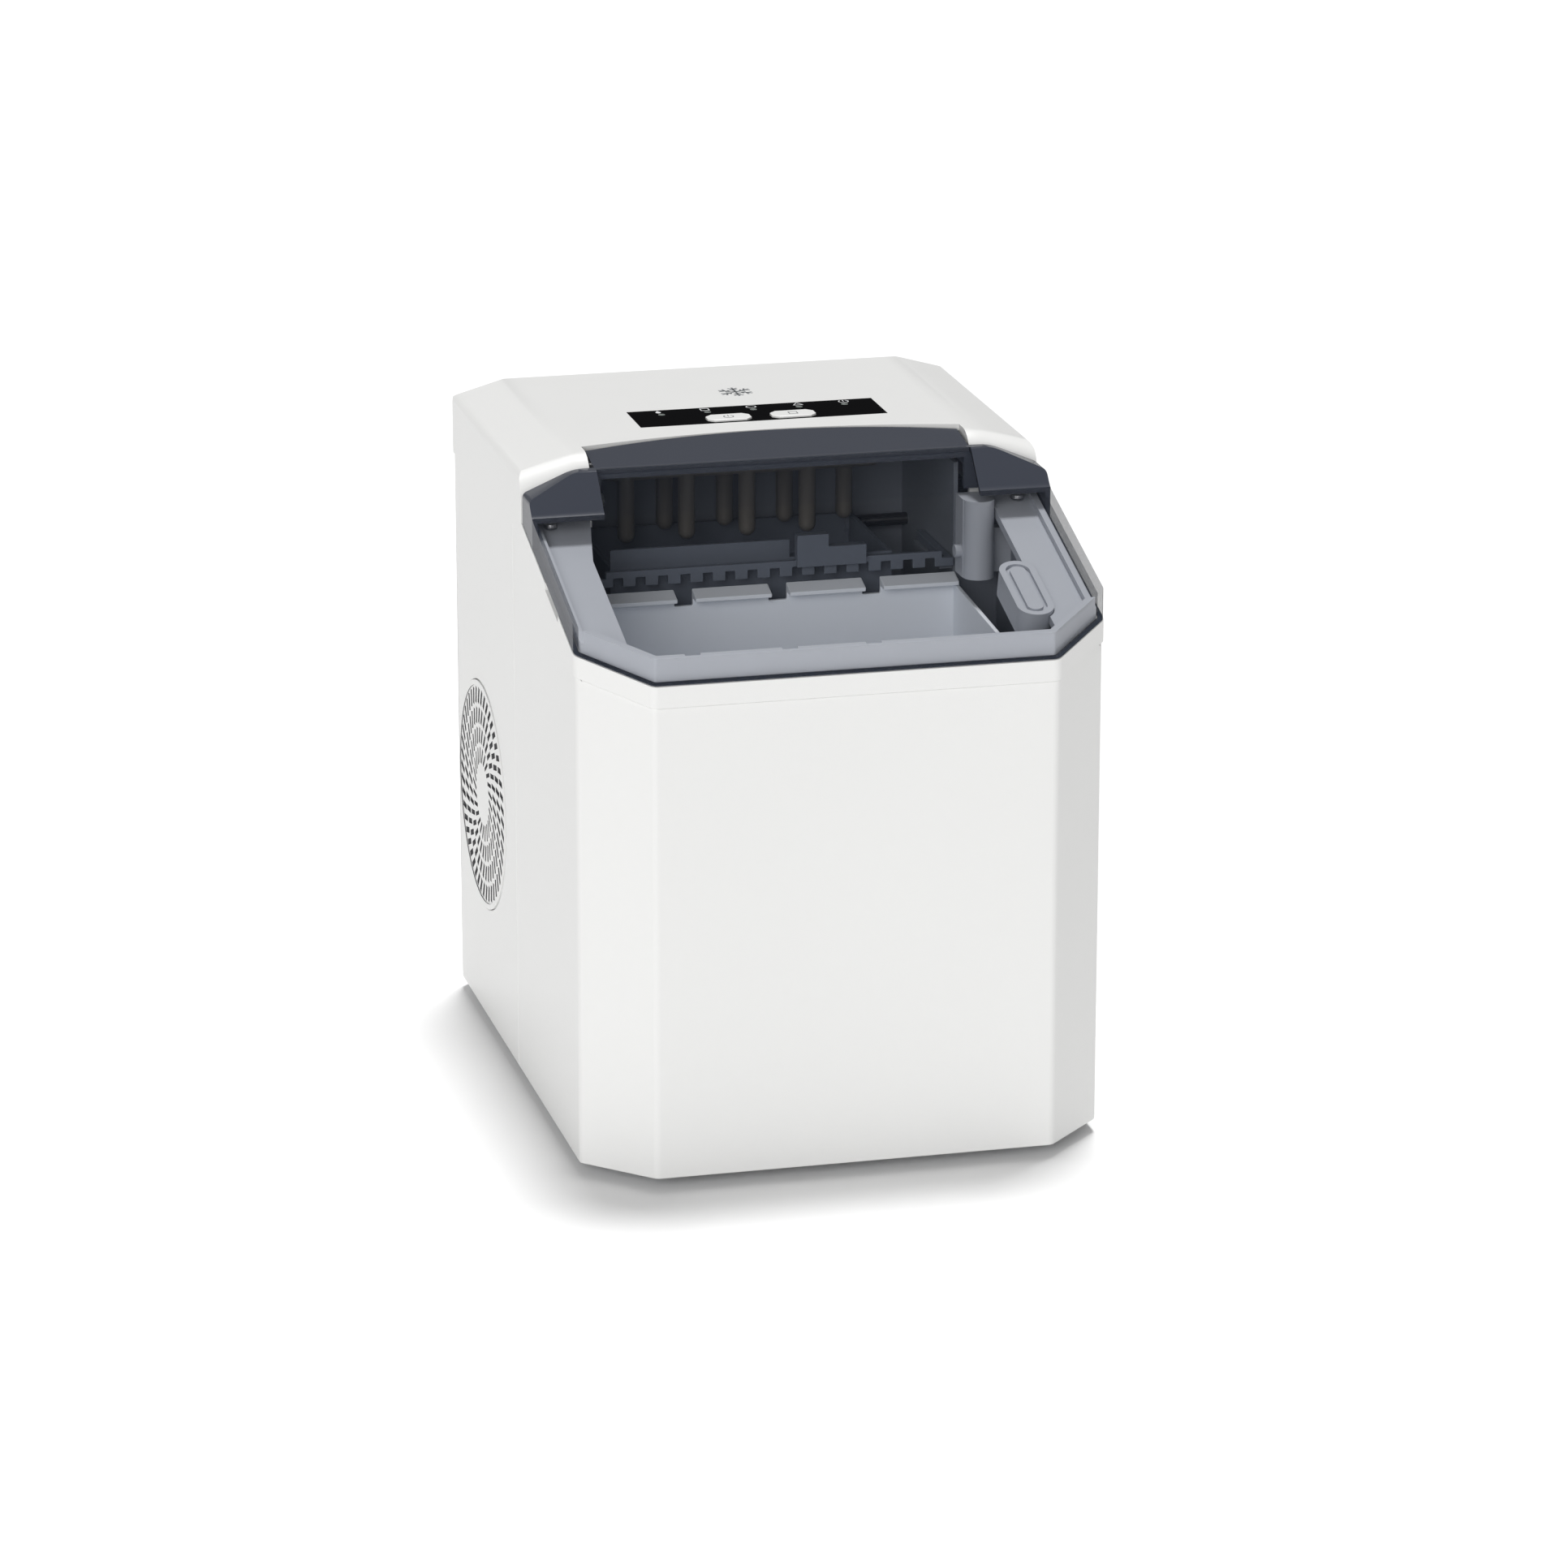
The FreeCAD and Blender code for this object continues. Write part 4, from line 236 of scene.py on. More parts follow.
class MarkSettings(bpy.types.PropertyGroup):
    """Sizes of the printed marks"""
    flake: bpy.props.FloatProperty(
        name="Snowflake", description="Width of the snowflake mark behind the label",
        default=17 * MM, unit="LENGTH", precision=4)
    ink: bpy.props.FloatProperty(
        name="Ink height", description="How far printed marks stand above the surface",
        default=0.06 * MM, unit="LENGTH", precision=5)
    icon: bpy.props.FloatProperty(
        name="Icon", description="Width of the icons on the label",
        default=4.6 * MM, unit="LENGTH", precision=4)


class StudioSettings(bpy.types.PropertyGroup):
    """Camera and light"""
    camera_place: bpy.props.FloatVectorProperty(
        name="Camera place", description="Place of the camera", subtype="XYZ", unit="LENGTH",
        size=3, default=(-0.68775, -2.7771, 1.01573))
    pitch: bpy.props.FloatProperty(
        name="Camera pitch", description="Angle below the horizon", subtype="ANGLE",
        default=math.radians(17.04))
    yaw: bpy.props.FloatProperty(
        name="Camera yaw", description="Angle from straight ahead", subtype="ANGLE",
        default=math.radians(14.0))
    lens: bpy.props.FloatProperty(
        name="Lens", description="Focal length", default=147.2, unit="CAMERA")
    fill: bpy.props.FloatProperty(
        name="Surround", description="Strength of the white surround", default=0.27)
    top: bpy.props.FloatProperty(
        name="Top light", description="Share of full white from above", default=0.74)
    top_from: bpy.props.FloatVectorProperty(
        name="Top light from", description="Direction of the top light", subtype="XYZ",
        size=3, default=(0.09, 0.17, 1.0))
    top_spread: bpy.props.FloatProperty(
        name="Top light spread", description="Angle the top light covers", subtype="ANGLE",
        default=math.radians(13))
    front: bpy.props.FloatProperty(
        name="Front light", description="Share of full white from the front", default=0.50)
    front_from: bpy.props.FloatVectorProperty(
        name="Front light from", description="Direction of the front light", subtype="XYZ",
        size=3, default=(-0.48, -0.84, 0.30))
    front_spread: bpy.props.FloatProperty(
        name="Front light spread", description="Angle the front light covers", subtype="ANGLE",
        default=math.radians(40))


FINISHES = {}
GROUPS = {"ice_case": CaseSettings, "ice_lid": LidSettings, "ice_inside": InteriorSettings,
          "ice_marks": MarkSettings, "ice_studio": StudioSettings}


# ---------------------------------------------------------------- shader helpers

def node(tree, kind, place, **values):
    """New shader or geometry node at a place in the editor, with its settings."""
    made = tree.nodes.new(kind)
    made.location = place
    for name, value in values.items():
        setattr(made, name, value)
    return made


def number_group(name, inputs, outputs):
    """Empty shader group whose sockets are all numbers."""
    tree = bpy.data.node_groups.new(name, "ShaderNodeTree")
    for label, value in inputs.items():
        socket = tree.interface.new_socket(label, in_out="INPUT", socket_type="NodeSocketFloat")
        socket.default_value = value
    for label in outputs:
        tree.interface.new_socket(label, in_out="OUTPUT", socket_type="NodeSocketFloat")
    return tree


def moulded_grain_group():
    """Fine moulding grain with slow colour drift: puts out a height and a colour factor."""
    name = "moulded_grain"
    if name in bpy.data.node_groups:
        return bpy.data.node_groups[name]
    tree = number_group(name, {"Grain Scale": 900, "Streak Scale": 40, "Drift": 0.04}, ("Height", "Shade"))
    start = node(tree, "NodeGroupInput", (-900, 0))
    end = node(tree, "NodeGroupOutput", (500, 0))
    coord = node(tree, "ShaderNodeTexCoord", (-900, -250))
    grain = node(tree, "ShaderNodeTexNoise", (-500, 200))
    grain.inputs["Detail"].default_value = GRAIN_DETAIL
    squash = node(tree, "ShaderNodeMapping", (-700, -300))
    squash.inputs["Scale"].default_value = (1.0, 1.0, STREAK_STRETCH)
    streak = node(tree, "ShaderNodeTexNoise", (-500, -150))
    streak.inputs["Detail"].default_value = STREAK_DETAIL
    slow = node(tree, "ShaderNodeTexNoise", (-500, -450))
    slow.inputs["Scale"].default_value = DRIFT_SCALE
    add = node(tree, "ShaderNodeMath", (-200, 100), operation="MULTIPLY_ADD")
    add.inputs[1].default_value = STREAK_SHARE
    drift = node(tree, "ShaderNodeMath", (-200, -300), operation="SUBTRACT")
    drift.inputs[1].default_value = NOISE_MIDDLE
    mix = node(tree, "ShaderNodeMath", (50, -300), operation="MULTIPLY")
    lift = node(tree, "ShaderNodeMath", (250, -300), operation="ADD")
    lift.inputs[1].default_value = 1.0
    link = tree.links.new
    link(coord.outputs["Object"], grain.inputs["Vector"])
    link(coord.outputs["Object"], squash.inputs["Vector"])
    link(coord.outputs["Object"], slow.inputs["Vector"])
    link(squash.outputs["Vector"], streak.inputs["Vector"])
    link(start.outputs["Grain Scale"], grain.inputs["Scale"])
    link(start.outputs["Streak Scale"], streak.inputs["Scale"])
    link(streak.outputs["Fac"], add.inputs[0])
    link(grain.outputs["Fac"], add.inputs[2])
    link(slow.outputs["Fac"], drift.inputs[0])
    link(drift.outputs[0], mix.inputs[0])
    link(start.outputs["Drift"], mix.inputs[1])
    link(mix.outputs[0], lift.inputs[0])
    link(add.outputs[0], end.inputs["Height"])
    link(lift.outputs[0], end.inputs["Shade"])
    return tree


def finish(name, colour, roughness, grain=900, streak=40, drift=0.05, bump=0.02, rough_swing=0.06,
           metallic=0.0, coat=0.0, gloss=0.5, sockets=None):
    """A moulded, painted or metal finish with grain in its bump, colour and roughness."""
    if name in FINISHES:
        return FINISHES[name]
    made = bpy.data.materials.new(name + "_finish")
    FINISHES[name] = made
    made.use_nodes = True
    tree = made.node_tree
    shader = tree.nodes["Principled BSDF"]
    shader.inputs["Metallic"].default_value = metallic
    shader.inputs["Coat Weight"].default_value = coat
    shader.inputs["Coat Roughness"].default_value = COAT_ROUGHNESS
    shader.inputs["Specular IOR Level"].default_value = gloss
    for socket, value in (sockets or {}).items():
        shader.inputs[socket].default_value = value
    group = node(tree, "ShaderNodeGroup", (-700, 0), node_tree=moulded_grain_group())
    group.inputs["Grain Scale"].default_value = grain
    group.inputs["Streak Scale"].default_value = streak
    group.inputs["Drift"].default_value = drift
    tint = node(tree, "ShaderNodeMix", (-400, 200), data_type="RGBA", blend_type="MULTIPLY")
    tint.inputs["Factor"].default_value = 1.0
    tint.inputs["A"].default_value = (*colour, 1)
    rough = node(tree, "ShaderNodeMapRange", (-400, -80))
    rough.inputs["To Min"].default_value = max(roughness - rough_swing, ROUGHNESS_FLOOR)
    rough.inputs["To Max"].default_value = roughness + rough_swing
    bumper = node(tree, "ShaderNodeBump", (-300, -350))
    bumper.inputs["Strength"].default_value = bump
    bumper.inputs["Distance"].default_value = BUMP_DEPTH
    link = tree.links.new
    link(group.outputs["Shade"], tint.inputs["B"])
    link(group.outputs["Height"], rough.inputs["Value"])
    link(group.outputs["Height"], bumper.inputs["Height"])
    link(tint.outputs["Result"], shader.inputs["Base Color"])
    link(rough.outputs["Result"], shader.inputs["Roughness"])
    link(bumper.outputs["Normal"], shader.inputs["Normal"])
    return made


def plain_finish(name):
    """Finish of a part whose looks are not among the settings."""
    return finish(name, **PLAIN[name])


def seat_height_group():
    """Height above the sloping seat, read from the part's own coordinates."""
    name = "seat_height"
    if name in bpy.data.node_groups:
        return bpy.data.node_groups[name]
    tree = number_group(name, {"Slope": SEAT_SLOPE, "Seat": SEAT_HEIGHT}, ("Height",))
    start = node(tree, "NodeGroupInput", (-600, 0))
    end = node(tree, "NodeGroupOutput", (400, 0))
    coord = node(tree, "ShaderNodeTexCoord", (-600, -200))
    split = node(tree, "ShaderNodeSeparateXYZ", (-400, -200))
    rise = node(tree, "ShaderNodeMath", (-200, -100), operation="MULTIPLY")
    over = node(tree, "ShaderNodeMath", (0, -100), operation="SUBTRACT")
    drop = node(tree, "ShaderNodeMath", (200, -100), operation="SUBTRACT")
    link = tree.links.new
    link(coord.outputs["Object"], split.inputs[0])
    link(split.outputs["Y"], rise.inputs[0])
    link(start.outputs["Slope"], rise.inputs[1])
    link(split.outputs["Z"], over.inputs[0])
    link(rise.outputs[0], over.inputs[1])
    link(over.outputs[0], drop.inputs[0])
    link(start.outputs["Seat"], drop.inputs[1])
    link(drop.outputs[0], end.inputs["Height"])
    return tree


def step_between(tree, height, low, high, before, after, place):
    """Value that goes from before to after as the height passes from low to high."""
    ramp = node(tree, "ShaderNodeMapRange", place, interpolation_type="SMOOTHSTEP")
    ramp.inputs["From Min"].default_value = low
    ramp.inputs["From Max"].default_value = high
    ramp.inputs["To Min"].default_value = before
    ramp.inputs["To Max"].default_value = after
    tree.links.new(height, ramp.inputs["Value"])
    return ramp.outputs["Result"]


def smoke_finish(lid):
    """Smoked clear plastic, denser in the sloping sheet and edge on, with a painted shadow along the
    skirt's lower edge for the dark seam to the case.
    """
    name = "smoke_window"
    if name in FINISHES:
        return FINISHES[name]
    made = bpy.data.materials.new(name + "_finish")
    FINISHES[name] = made
    made.use_nodes = True
    tree = made.node_tree
    shader = tree.nodes["Principled BSDF"]
    shader.inputs["Base Color"].default_value = (*lid.tint, 1)
    shader.inputs["Specular IOR Level"].default_value = lid.gloss
    height = node(tree, "ShaderNodeGroup", (-900, -200), node_tree=seat_height_group())
    level = height.outputs["Height"]
    sheet = step_between(tree, level, lid.sheet_height - 2 * SEAT_BLEND, lid.sheet_height + SEAT_BLEND,
                         lid.skirt_density, lid.density, (-600, -150))
    # Painted seam shadow: the skirt's lowest strip gets a nearly opaque dark tint.
    seam_shadow = step_between(tree, level, lid.seam_shadow_height, lid.seam_shadow_height + SEAT_BLEND,
                       lid.seam_shadow_density, 0.0, (-600, -400))
    facing = node(tree, "ShaderNodeLayerWeight", (-900, -700))
    facing.inputs["Blend"].default_value = 0.5
    side = step_between(tree, facing.outputs["Facing"], EDGE_ON_START, EDGE_ON_END,
                        0.0, lid.edge_density, (-600, -650))
    most = node(tree, "ShaderNodeMath", (-300, -250), operation="MAXIMUM")
    darkest = node(tree, "ShaderNodeMath", (-120, -350), operation="MAXIMUM")
    group = node(tree, "ShaderNodeGroup", (-600, 100), node_tree=moulded_grain_group())
    group.inputs["Grain Scale"].default_value = WINDOW_GRAIN
    rough = node(tree, "ShaderNodeMapRange", (-350, 100))
    rough.inputs["To Min"].default_value, rough.inputs["To Max"].default_value = WINDOW_ROUGHNESS
    link = tree.links.new
    link(sheet, most.inputs[0])
    link(seam_shadow, most.inputs[1])
    link(most.outputs[0], darkest.inputs[0])
    link(side, darkest.inputs[1])
    link(darkest.outputs[0], shader.inputs["Alpha"])
    link(group.outputs["Height"], rough.inputs["Value"])
    link(rough.outputs["Result"], shader.inputs["Roughness"])
    return made


# ---------------------------------------------------------------- mesh helpers

def paint(names, material):
    """Give CAD nodes whose shape stays as it is a finish, on the object's own slots."""
    for name in names:
        slots = NODES[name].material_slots
        if not slots:
            raise RuntimeError(name + " has no material slot")
        for slot in slots:
            slot.link = "OBJECT"
            slot.material = material


def clean_copy(name):
    """Copy of a CAD node's mesh with its corners merged."""
    source = NODES[name]
    bm = bmesh.new()
    bm.from_mesh(source.data)
    bmesh.ops.transform(bm, matrix=source.matrix_world, verts=bm.verts)
    bmesh.ops.remove_doubles(bm, verts=bm.verts, dist=MERGE)
    bmesh.ops.dissolve_degenerate(bm, edges=bm.edges, dist=MERGE)
    mesh = bpy.data.meshes.new(name + "_moulded")
    bm.to_mesh(mesh)
    bm.free()
    return mesh


def dress(names, material, edge=0.0):
    """Stand a finished copy in for each of these CAD nodes, with its edges softly broken or kept sharp."""
    for name in names:
        mesh = clean_copy(name)
        obj = piece(name + "_moulded", mesh, material, BODY_OF[name], (name,))
        for face in mesh.polygons:
            face.use_smooth = True
        if edge > 0:
            bevel = obj.modifiers.new("edge", "BEVEL")
            bevel.width = edge
            bevel.segments = EDGE_SEGMENTS
            bevel.limit_method = "ANGLE"
            bevel.angle_limit = SHARP_ANGLE
            bevel.miter_outer = "MITER_ARC"
            normal = obj.modifiers.new("normals", "WEIGHTED_NORMAL")
            normal.weight = FACE_WEIGHT
        else:
            mesh.set_sharp_from_angle(angle=SHARP_ANGLE)


def piece(name, mesh, material, body, replaced=()):
    """New flat-shaded piece that rides a body and, where asked, stands in for CAD nodes."""
    obj = bpy.data.objects.new(name, mesh)
    bpy.context.scene.collection.objects.link(obj)
    mesh.materials.clear()
    mesh.materials.append(material)
    for face in mesh.polygons:
        face.use_smooth = False
    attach(obj, body)
    if replaced:
        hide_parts(*replaced)
    return obj


def slab(bm, outline, z0, z1):
    """Closed prism on a flat outline of (x, y) points."""
    low = [bm.verts.new((x, y, z0)) for x, y in outline]
    high = [bm.verts.new((x, y, z1)) for x, y in outline]
    bm.faces.new(list(reversed(low)))
    bm.faces.new(high)
    count = len(outline)
    for i in range(count):
        j = (i + 1) % count
        bm.faces.new((low[i], low[j], high[j], high[i]))


def mesh_from(bm, name):
    """Mesh with outward faces from a finished bmesh, which is freed."""
    bmesh.ops.recalc_face_normals(bm, faces=bm.faces)
    mesh = bpy.data.meshes.new(name)
    bm.to_mesh(mesh)
    bm.free()
    return mesh


# ---------------------------------------------------------------- operators

class ICE_OT_case(bpy.types.Operator):
    """Finish the white case, back panel and intake grille"""
    bl_idname = "ice.case"
    bl_label = "Case"

    def execute(self, context):
        case = context.scene.ice_case
        white = finish("case_white", case.white, case.roughness, grain=1300, streak=55, drift=0.03,
                       bump=0.10, rough_swing=0.05, coat=0.12)
        dress(("front_wrap", "rear_shell", "top_cover", "rear_panel"), white, case.edge)
        self.grille(case, white)
        return {"FINISHED"}

    def grille(self, case, white):
        """Intake grille with painted shade on the walls of its slots: a dark grey finish that stands in for
        the shade inside them.
        """
        name = "fan_grille"
        mesh = clean_copy(name)
        piece(name + "_moulded", mesh, white, BODY_OF[name], (name,))
        # Second slot: the dark grey of the painted slot shade.
        mesh.materials.append(finish("slot_shade", case.slot_shade_grey, roughness=0.7, grain=1500,
                                     drift=0.2, bump=0.3))
        low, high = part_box(name)
        centre = (low + high) / 2
        reach = (high.z - low.z) / 2 - case.grille_rim
        # Slot walls inside the white rim take the painted shade.
        for face in mesh.polygons:
            out = Vector((face.center.y - centre.y, face.center.z - centre.z)).length
            if abs(face.normal.x) < SLOT_WALL_TILT and out < reach:
                face.material_index = 1


class ICE_OT_lid(bpy.types.Operator):
    """Finish the smoked window, the dark lid frame, the pins and the screws"""
    bl_idname = "ice.lid"
    bl_label = "Lid"

    def execute(self, context):
        lid = context.scene.ice_lid
        dress(("lid_window",), smoke_finish(lid), lid.edge)
        dark = finish("lid_frame_gloss", lid.frame_colour, roughness=0.18, grain=500, drift=0.04,
                      bump=0.01, rough_swing=0.04, gloss=0.12)
        dress(("lid_frame",), dark, lid.edge)
        steel = plain_finish("pin_steel")
        dress(("panel_screws", "bezel_screws"), steel, SMALL_EDGE)
        paint(("lid_hinge_pins", "tray_pivot_pin"), steel)
        return {"FINISHED"}


class ICE_OT_inside(bpy.types.Operator):
    """Finish everything inside the ice compartment"""
    bl_idname = "ice.inside"
    bl_label = "Ice compartment"

    def execute(self, context):
        inside = context.scene.ice_inside
        bezel = finish("bezel_grey", inside.bezel, roughness=0.34, grain=1100, drift=0.05, bump=0.05,
                       coat=0.1)
        dress(("bezel_frame", "gear_cover", "ice_sensor_housing"), bezel, BEZEL_EDGE)
        liner = finish("liner_grey", inside.liner, roughness=0.45, grain=900, drift=0.06, bump=0.06)
        dress(("inner_liner",), liner, PART_EDGE)
        basket = finish("basket_grey", inside.basket, roughness=0.36, grain=700, drift=0.05, bump=0.05,
                        coat=0.1)
        dress(("ice_basket",), basket, PART_EDGE)
        dark = finish("tray_dark", inside.dark_parts, roughness=0.38, grain=900, drift=0.08, bump=0.08)
        dress(("water_tray", "ice_shovel", "fan_blade"), dark, SMALL_EDGE)
        paint(("fan_shroud",), dark)
        dress(("evaporator",), plain_finish("evaporator_plate"))
        return {"FINISHED"}


class ICE_OT_deck(bpy.types.Operator):
    """Finish the refrigeration deck, base and feet"""
    bl_idname = "ice.deck"
    bl_label = "Deck and base"

    def execute(self, context):
        for name, dressed, painted in DECK:
            material = plain_finish(name)
            dress(dressed, material, PART_EDGE)
            paint(painted, material)
        return {"FINISHED"}


class ICE_OT_controls(bpy.types.Operator):
    """Finish the label, buttons and lights, and print the icons"""
    bl_idname = "ice.controls"
    bl_label = "Controls"

    def execute(self, context):
        marks = context.scene.ice_marks
        dress(("control_label",), plain_finish("label_black"))
        dress(("power_button", "select_button"), plain_finish("button_white"), SMALL_EDGE)
        dress(("indicator_lights",), plain_finish("light_lens"))
        self.label_icons(marks)
        for name, shape in (("power_button", power_outline), ("select_button", cube_outline)):
            low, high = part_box(name)
            bm = bmesh.new()
            print_shape(bm, shape(marks.icon), (low[0] + high[0]) / 2, (low[1] + high[1]) / 2,
                        high[2], marks.ink)
            piece(name + "_mark", mesh_from(bm, name + "_mark"), plain_finish("printed_grey"),
                  BODY_OF[name])
        return {"FINISHED"}

    def label_icons(self, marks):
        """Icons in a row on the label, one beside each indicator light."""
        ink = plain_finish("printed_white")
        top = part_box("control_label")[1][2]
        low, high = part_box("indicator_lights")
        left = (low[0] + high[0]) / 2
        span = (high[0] - low[0]) * ICON_SPREAD
        y = (low[1] + high[1]) / 2 + marks.icon * ICON_RISE
        shapes = (drop_outline, cube_outline, ring_outline, triangle_outline, power_outline)
        bm = bmesh.new()
        for index, shape in enumerate(shapes):
            x = left + span * (index / (len(shapes) - 1) - 0.5)
            print_shape(bm, shape(marks.icon), x, y, top, marks.ink)
        piece("label_icons", mesh_from(bm, "label_icons"), ink, "housing")


def print_shape(bm, outlines, x, y, z, ink):
    """Thin raised print of flat outlines about a place."""
    for outline in outlines:
        slab(bm, [(x + px, y + py) for px, py in outline], z, z + ink)


def stroke(start, end, width):
    """Thin rectangle from start to end."""
    a = Vector(start)
    b = Vector(end)
    side = (b - a).normalized().orthogonal() * width / 2
    return [tuple(a + side), tuple(a - side), tuple(b - side), tuple(b + side)]


def arc_strokes(radius, start, end, width, steps):
    """Rectangles end to end along an arc about the origin."""
    points = []
    for i in range(steps + 1):
        angle = start + (end - start) * i / steps
        points.append((radius * math.cos(angle), radius * math.sin(angle)))
    return [stroke(a, b, width) for a, b in zip(points[:-1], points[1:])]


def closed_strokes(corners, half, width):
    """Rectangles along a closed outline whose corners are given as shares of half its width."""
    points = [(half * x, half * y) for x, y in corners]
    return [stroke(a, b, width) for a, b in zip(points, points[1:] + points[:1])]


def ring_outline(size):
    return arc_strokes(size / 2, 0, 2 * math.pi, size * ICON_STROKE, RING_STEPS)


def drop_outline(size):
    return [[(size / 2 * x, size / 2 * y) for x, y in DROP]]


def triangle_outline(size):
    return closed_strokes(TRIANGLE, size / 2, size * ICON_STROKE)


def cube_outline(size):
    return closed_strokes(SQUARE, size * CUBE_SIZE, size * ICON_STROKE)


def power_outline(size):
    ring = arc_strokes(size / 2, math.pi / 2 + POWER_GAP, math.pi * 2.5 - POWER_GAP,
                       size * ICON_STROKE, POWER_STEPS)
    return ring + [stroke((0, 0), (0, size * POWER_BAR), size * ICON_STROKE)]


class ICE_OT_flake(bpy.types.Operator):
    """Print the snowflake mark behind the label"""
    bl_idname = "ice.flake"
    bl_label = "Snowflake mark"

    def execute(self, context):
        marks = context.scene.ice_marks
        low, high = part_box("control_label")
        arm = marks.flake / 2
        width = marks.flake * FLAKE_STROKE
        strokes = [stroke((0, 0), (0, arm), width)]
        for foot, reach, tip in FLAKE_TWIGS:
            for side in (1, -1):
                strokes.append(stroke((0, arm * foot), (side * arm * reach, arm * tip), width))
        bm = bmesh.new()
        print_shape(bm, strokes, 0, 0, 0, marks.ink)
        branch = bpy.data.objects.new("branch", mesh_from(bm, "branch"))
        grey = plain_finish("printed_grey")
        place = Vector(((low[0] + high[0]) / 2, high[1] + marks.flake * FLAKE_STAND_OFF, high[2]))
        mesh = ring_of_copies("snowflake_ring", branch, FLAKE_ARMS, place, grey)
        bpy.data.objects.remove(branch)
        piece("snowflake_mark", mesh, grey, "housing")
        return {"FINISHED"}


def ring_of_copies(name, source, count, place, material):
    """Copies of a piece turned about a vertical axis, made by Geometry Nodes, as one mesh."""
    tree = bpy.data.node_groups.new(name, "GeometryNodeTree")
    face = tree.interface
    face.new_socket("Geometry", in_out="OUTPUT", socket_type="NodeSocketGeometry")
    values = {}
    for label, kind, value in (("Piece", "NodeSocketObject", source), ("Count", "NodeSocketInt", count),
                               ("Finish", "NodeSocketMaterial", material)):
        socket = face.new_socket(label, in_out="INPUT", socket_type=kind)
        values[socket.identifier] = value
    start = node(tree, "NodeGroupInput", (-600, 0))
    end = node(tree, "NodeGroupOutput", (900, 0))
    line = node(tree, "GeometryNodeMeshLine", (-400, 100), mode="OFFSET")
    line.inputs["Offset"].default_value = (0, 0, 0)
    info = node(tree, "GeometryNodeObjectInfo", (-400, -200))
    info.inputs["As Instance"].default_value = True
    index = node(tree, "GeometryNodeInputIndex", (-400, -400))
    step = node(tree, "ShaderNodeMath", (-400, -550), operation="DIVIDE")
    step.inputs[0].default_value = 2 * math.pi
    turn = node(tree, "ShaderNodeMath", (-200, -450), operation="MULTIPLY")
    combine = node(tree, "ShaderNodeCombineXYZ", (0, -450))
    scatter = node(tree, "GeometryNodeInstanceOnPoints", (150, 0))
    real = node(tree, "GeometryNodeRealizeInstances", (400, 0))
    coated = node(tree, "GeometryNodeSetMaterial", (600, 0))
    link = tree.links.new
    link(start.outputs["Count"], line.inputs["Count"])
    link(start.outputs["Piece"], info.inputs["Object"])
    link(start.outputs["Count"], step.inputs[1])
    link(index.outputs[0], turn.inputs[0])
    link(step.outputs[0], turn.inputs[1])
    link(turn.outputs[0], combine.inputs["Z"])
    link(line.outputs["Mesh"], scatter.inputs["Points"])
    link(info.outputs["Geometry"], scatter.inputs["Instance"])
    link(combine.outputs[0], scatter.inputs["Rotation"])
    link(scatter.outputs["Instances"], real.inputs["Geometry"])
    link(real.outputs["Geometry"], coated.inputs["Geometry"])
    link(start.outputs["Finish"], coated.inputs["Material"])
    link(coated.outputs["Geometry"], end.inputs["Geometry"])
    holder = bpy.data.objects.new(name, bpy.data.meshes.new(name))
    bpy.context.scene.collection.objects.link(holder)
    modifier = holder.modifiers.new(name, "NODES")
    modifier.node_group = tree
    for identifier, value in values.items():
        modifier[identifier] = value
    graph = bpy.context.evaluated_depsgraph_get()
    graph.update()
    mesh = bpy.data.meshes.new_from_object(holder.evaluated_get(graph))
    mesh.transform(Matrix.Translation(place))
    bpy.data.objects.remove(holder)
    return mesh


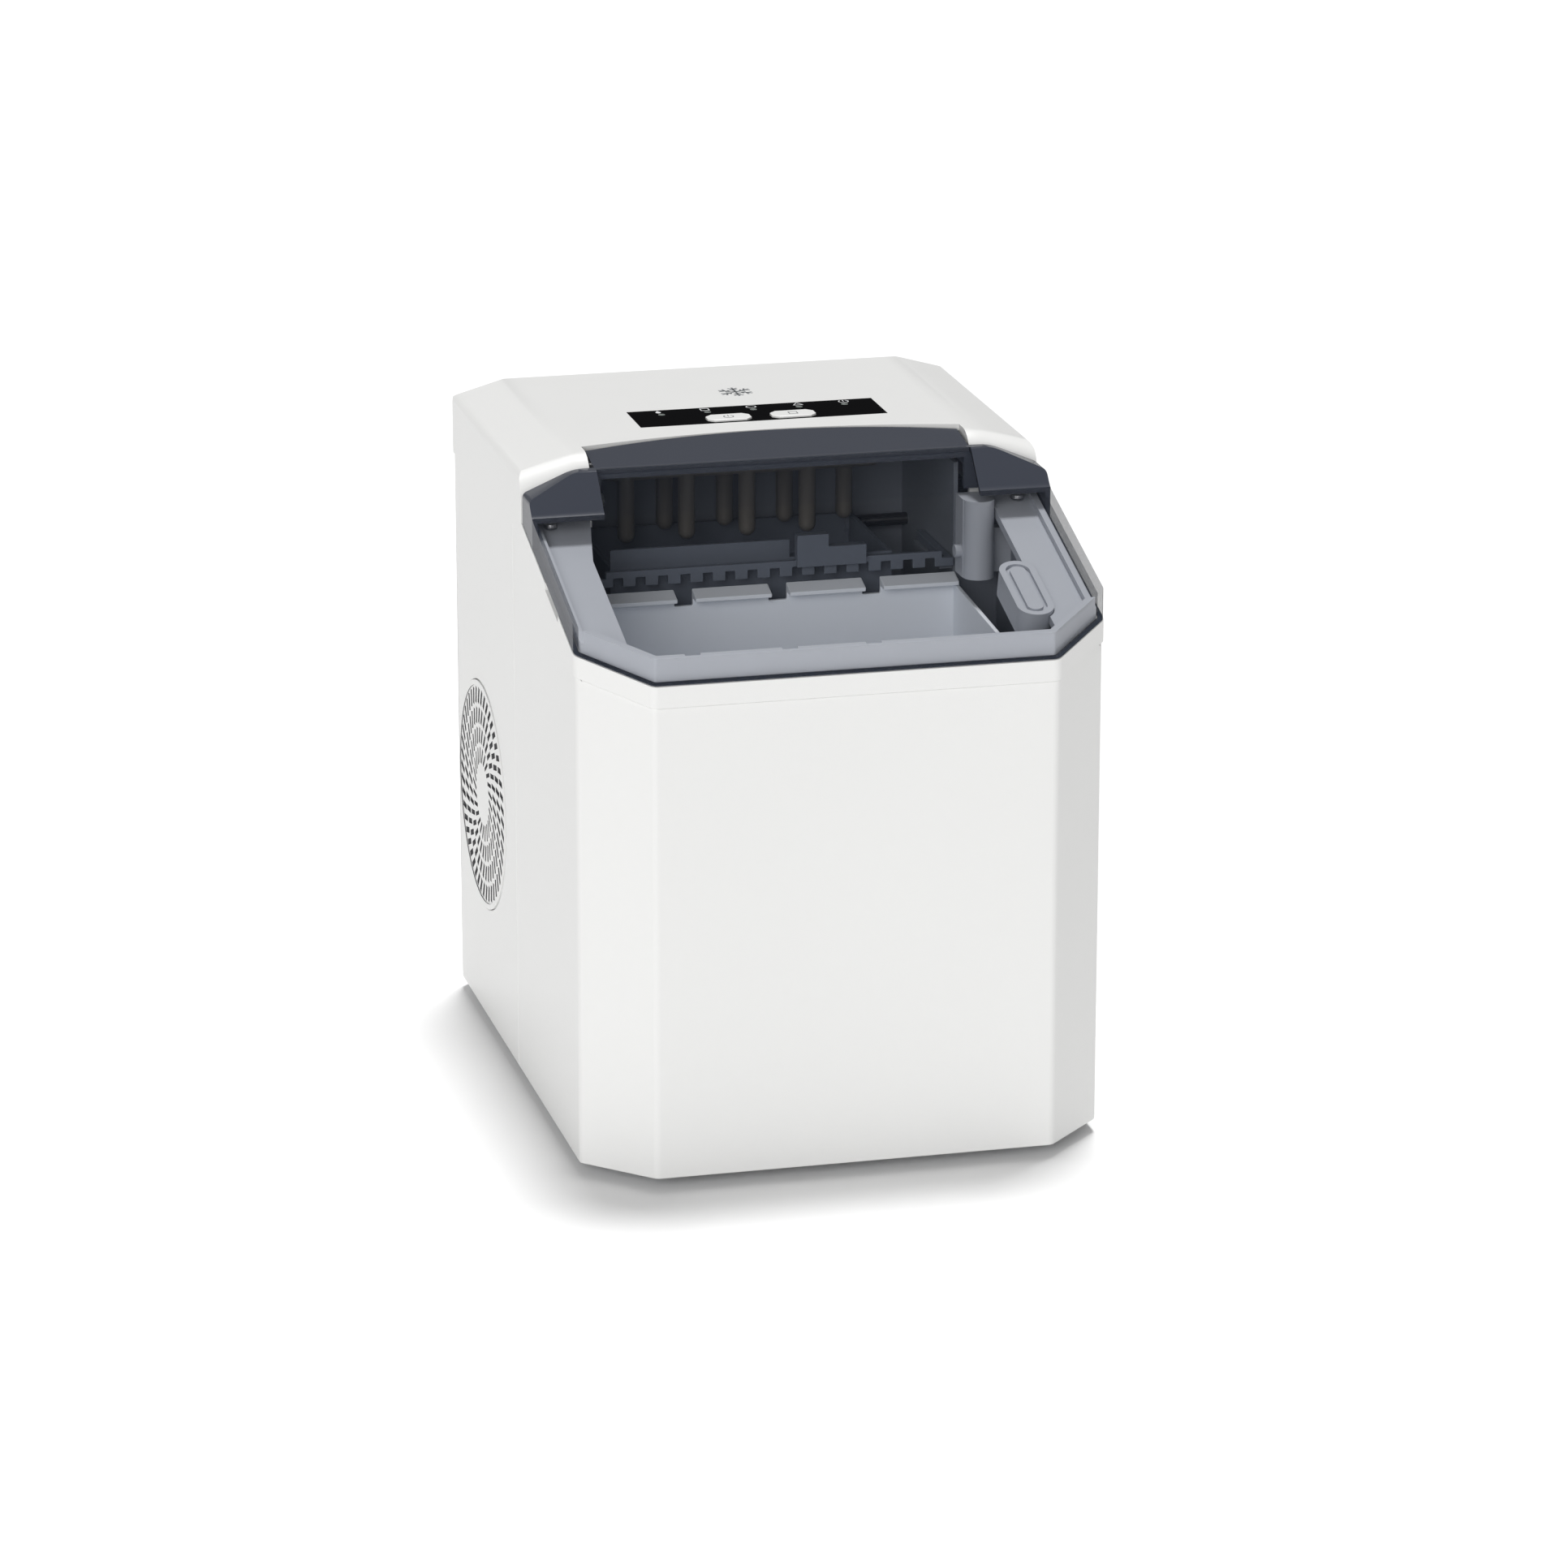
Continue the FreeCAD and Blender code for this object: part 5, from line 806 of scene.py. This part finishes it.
class ICE_OT_studio(bpy.types.Operator):
    """Floor, lights and camera"""
    bl_idname = "ice.studio"
    bl_label = "Studio"

    def execute(self, context):
        studio = context.scene.ice_studio
        scene = context.scene
        bm = bmesh.new()
        bm.faces.new([bm.verts.new((x * FLOOR_REACH, y * FLOOR_REACH, 0)) for x, y in SQUARE])
        mesh = mesh_from(bm, "studio_floor")
        floor = bpy.data.objects.new("studio_floor", mesh)
        scene.collection.objects.link(floor)
        mesh.materials.append(plain_finish("studio_paper"))
        world = bpy.data.worlds.new("studio_surround")
        scene.world = world
        world.use_nodes = True
        back = world.node_tree.nodes["Background"]
        back.inputs["Color"].default_value = (1, 1, 1, 1)
        back.inputs["Strength"].default_value = studio.fill
        self.sky_light("studio_top", studio.top, studio.top_from, studio.top_spread)
        self.sky_light("studio_front", studio.front, studio.front_from, studio.front_spread)
        camera = bpy.data.cameras.new("studio_camera")
        camera.lens = studio.lens
        camera.sensor_width = SENSOR_WIDTH
        camera.clip_end = CLIP_END
        view = bpy.data.objects.new("studio_camera", camera)
        scene.collection.objects.link(view)
        view.location = studio.camera_place
        view.rotation_euler = (math.pi / 2 - studio.pitch, 0, -studio.yaw)
        scene.camera = view
        scene.view_settings.view_transform = "Standard"
        scene.view_settings.look = "None"
        return {"FINISHED"}

    def sky_light(self, name, share, towards, spread):
        """Far soft light whose strength is given as a share of full white."""
        light = bpy.data.lights.new(name, "SUN")
        light.energy = share * math.pi
        light.angle = spread
        obj = bpy.data.objects.new(name, light)
        bpy.context.scene.collection.objects.link(obj)
        obj.rotation_euler = Vector(towards).to_track_quat("Z", "Y").to_euler()


class ICE_PT_panel(bpy.types.Panel):
    """Settings and steps of the ice maker's finishes"""
    bl_idname = "ICE_PT_panel"
    bl_label = "Ice maker"
    bl_space_type = "VIEW_3D"
    bl_region_type = "UI"
    bl_category = "Ice maker"

    def draw(self, context):
        column = self.layout.column()
        for step in STEPS:
            column.operator(step.bl_idname)
        for name in GROUPS:
            settings = getattr(context.scene, name)
            for prop in type(settings).__annotations__:
                column.prop(settings, prop)


STEPS = (ICE_OT_case, ICE_OT_lid, ICE_OT_inside, ICE_OT_deck, ICE_OT_controls, ICE_OT_flake, ICE_OT_studio)


def register():
    for group in GROUPS.values():
        bpy.utils.register_class(group)
    for step in STEPS:
        bpy.utils.register_class(step)
    bpy.utils.register_class(ICE_PT_panel)
    for name, group in GROUPS.items():
        setattr(bpy.types.Scene, name, bpy.props.PointerProperty(type=group))


def unregister():
    for name in GROUPS:
        delattr(bpy.types.Scene, name)
    bpy.utils.unregister_class(ICE_PT_panel)
    for step in reversed(STEPS):
        bpy.utils.unregister_class(step)
    for group in GROUPS.values():
        bpy.utils.unregister_class(group)


def main():
    register()
    for step in STEPS:
        getattr(bpy.ops.ice, step.bl_idname.split(".")[1])()


if __name__ == "__main__":
    main()
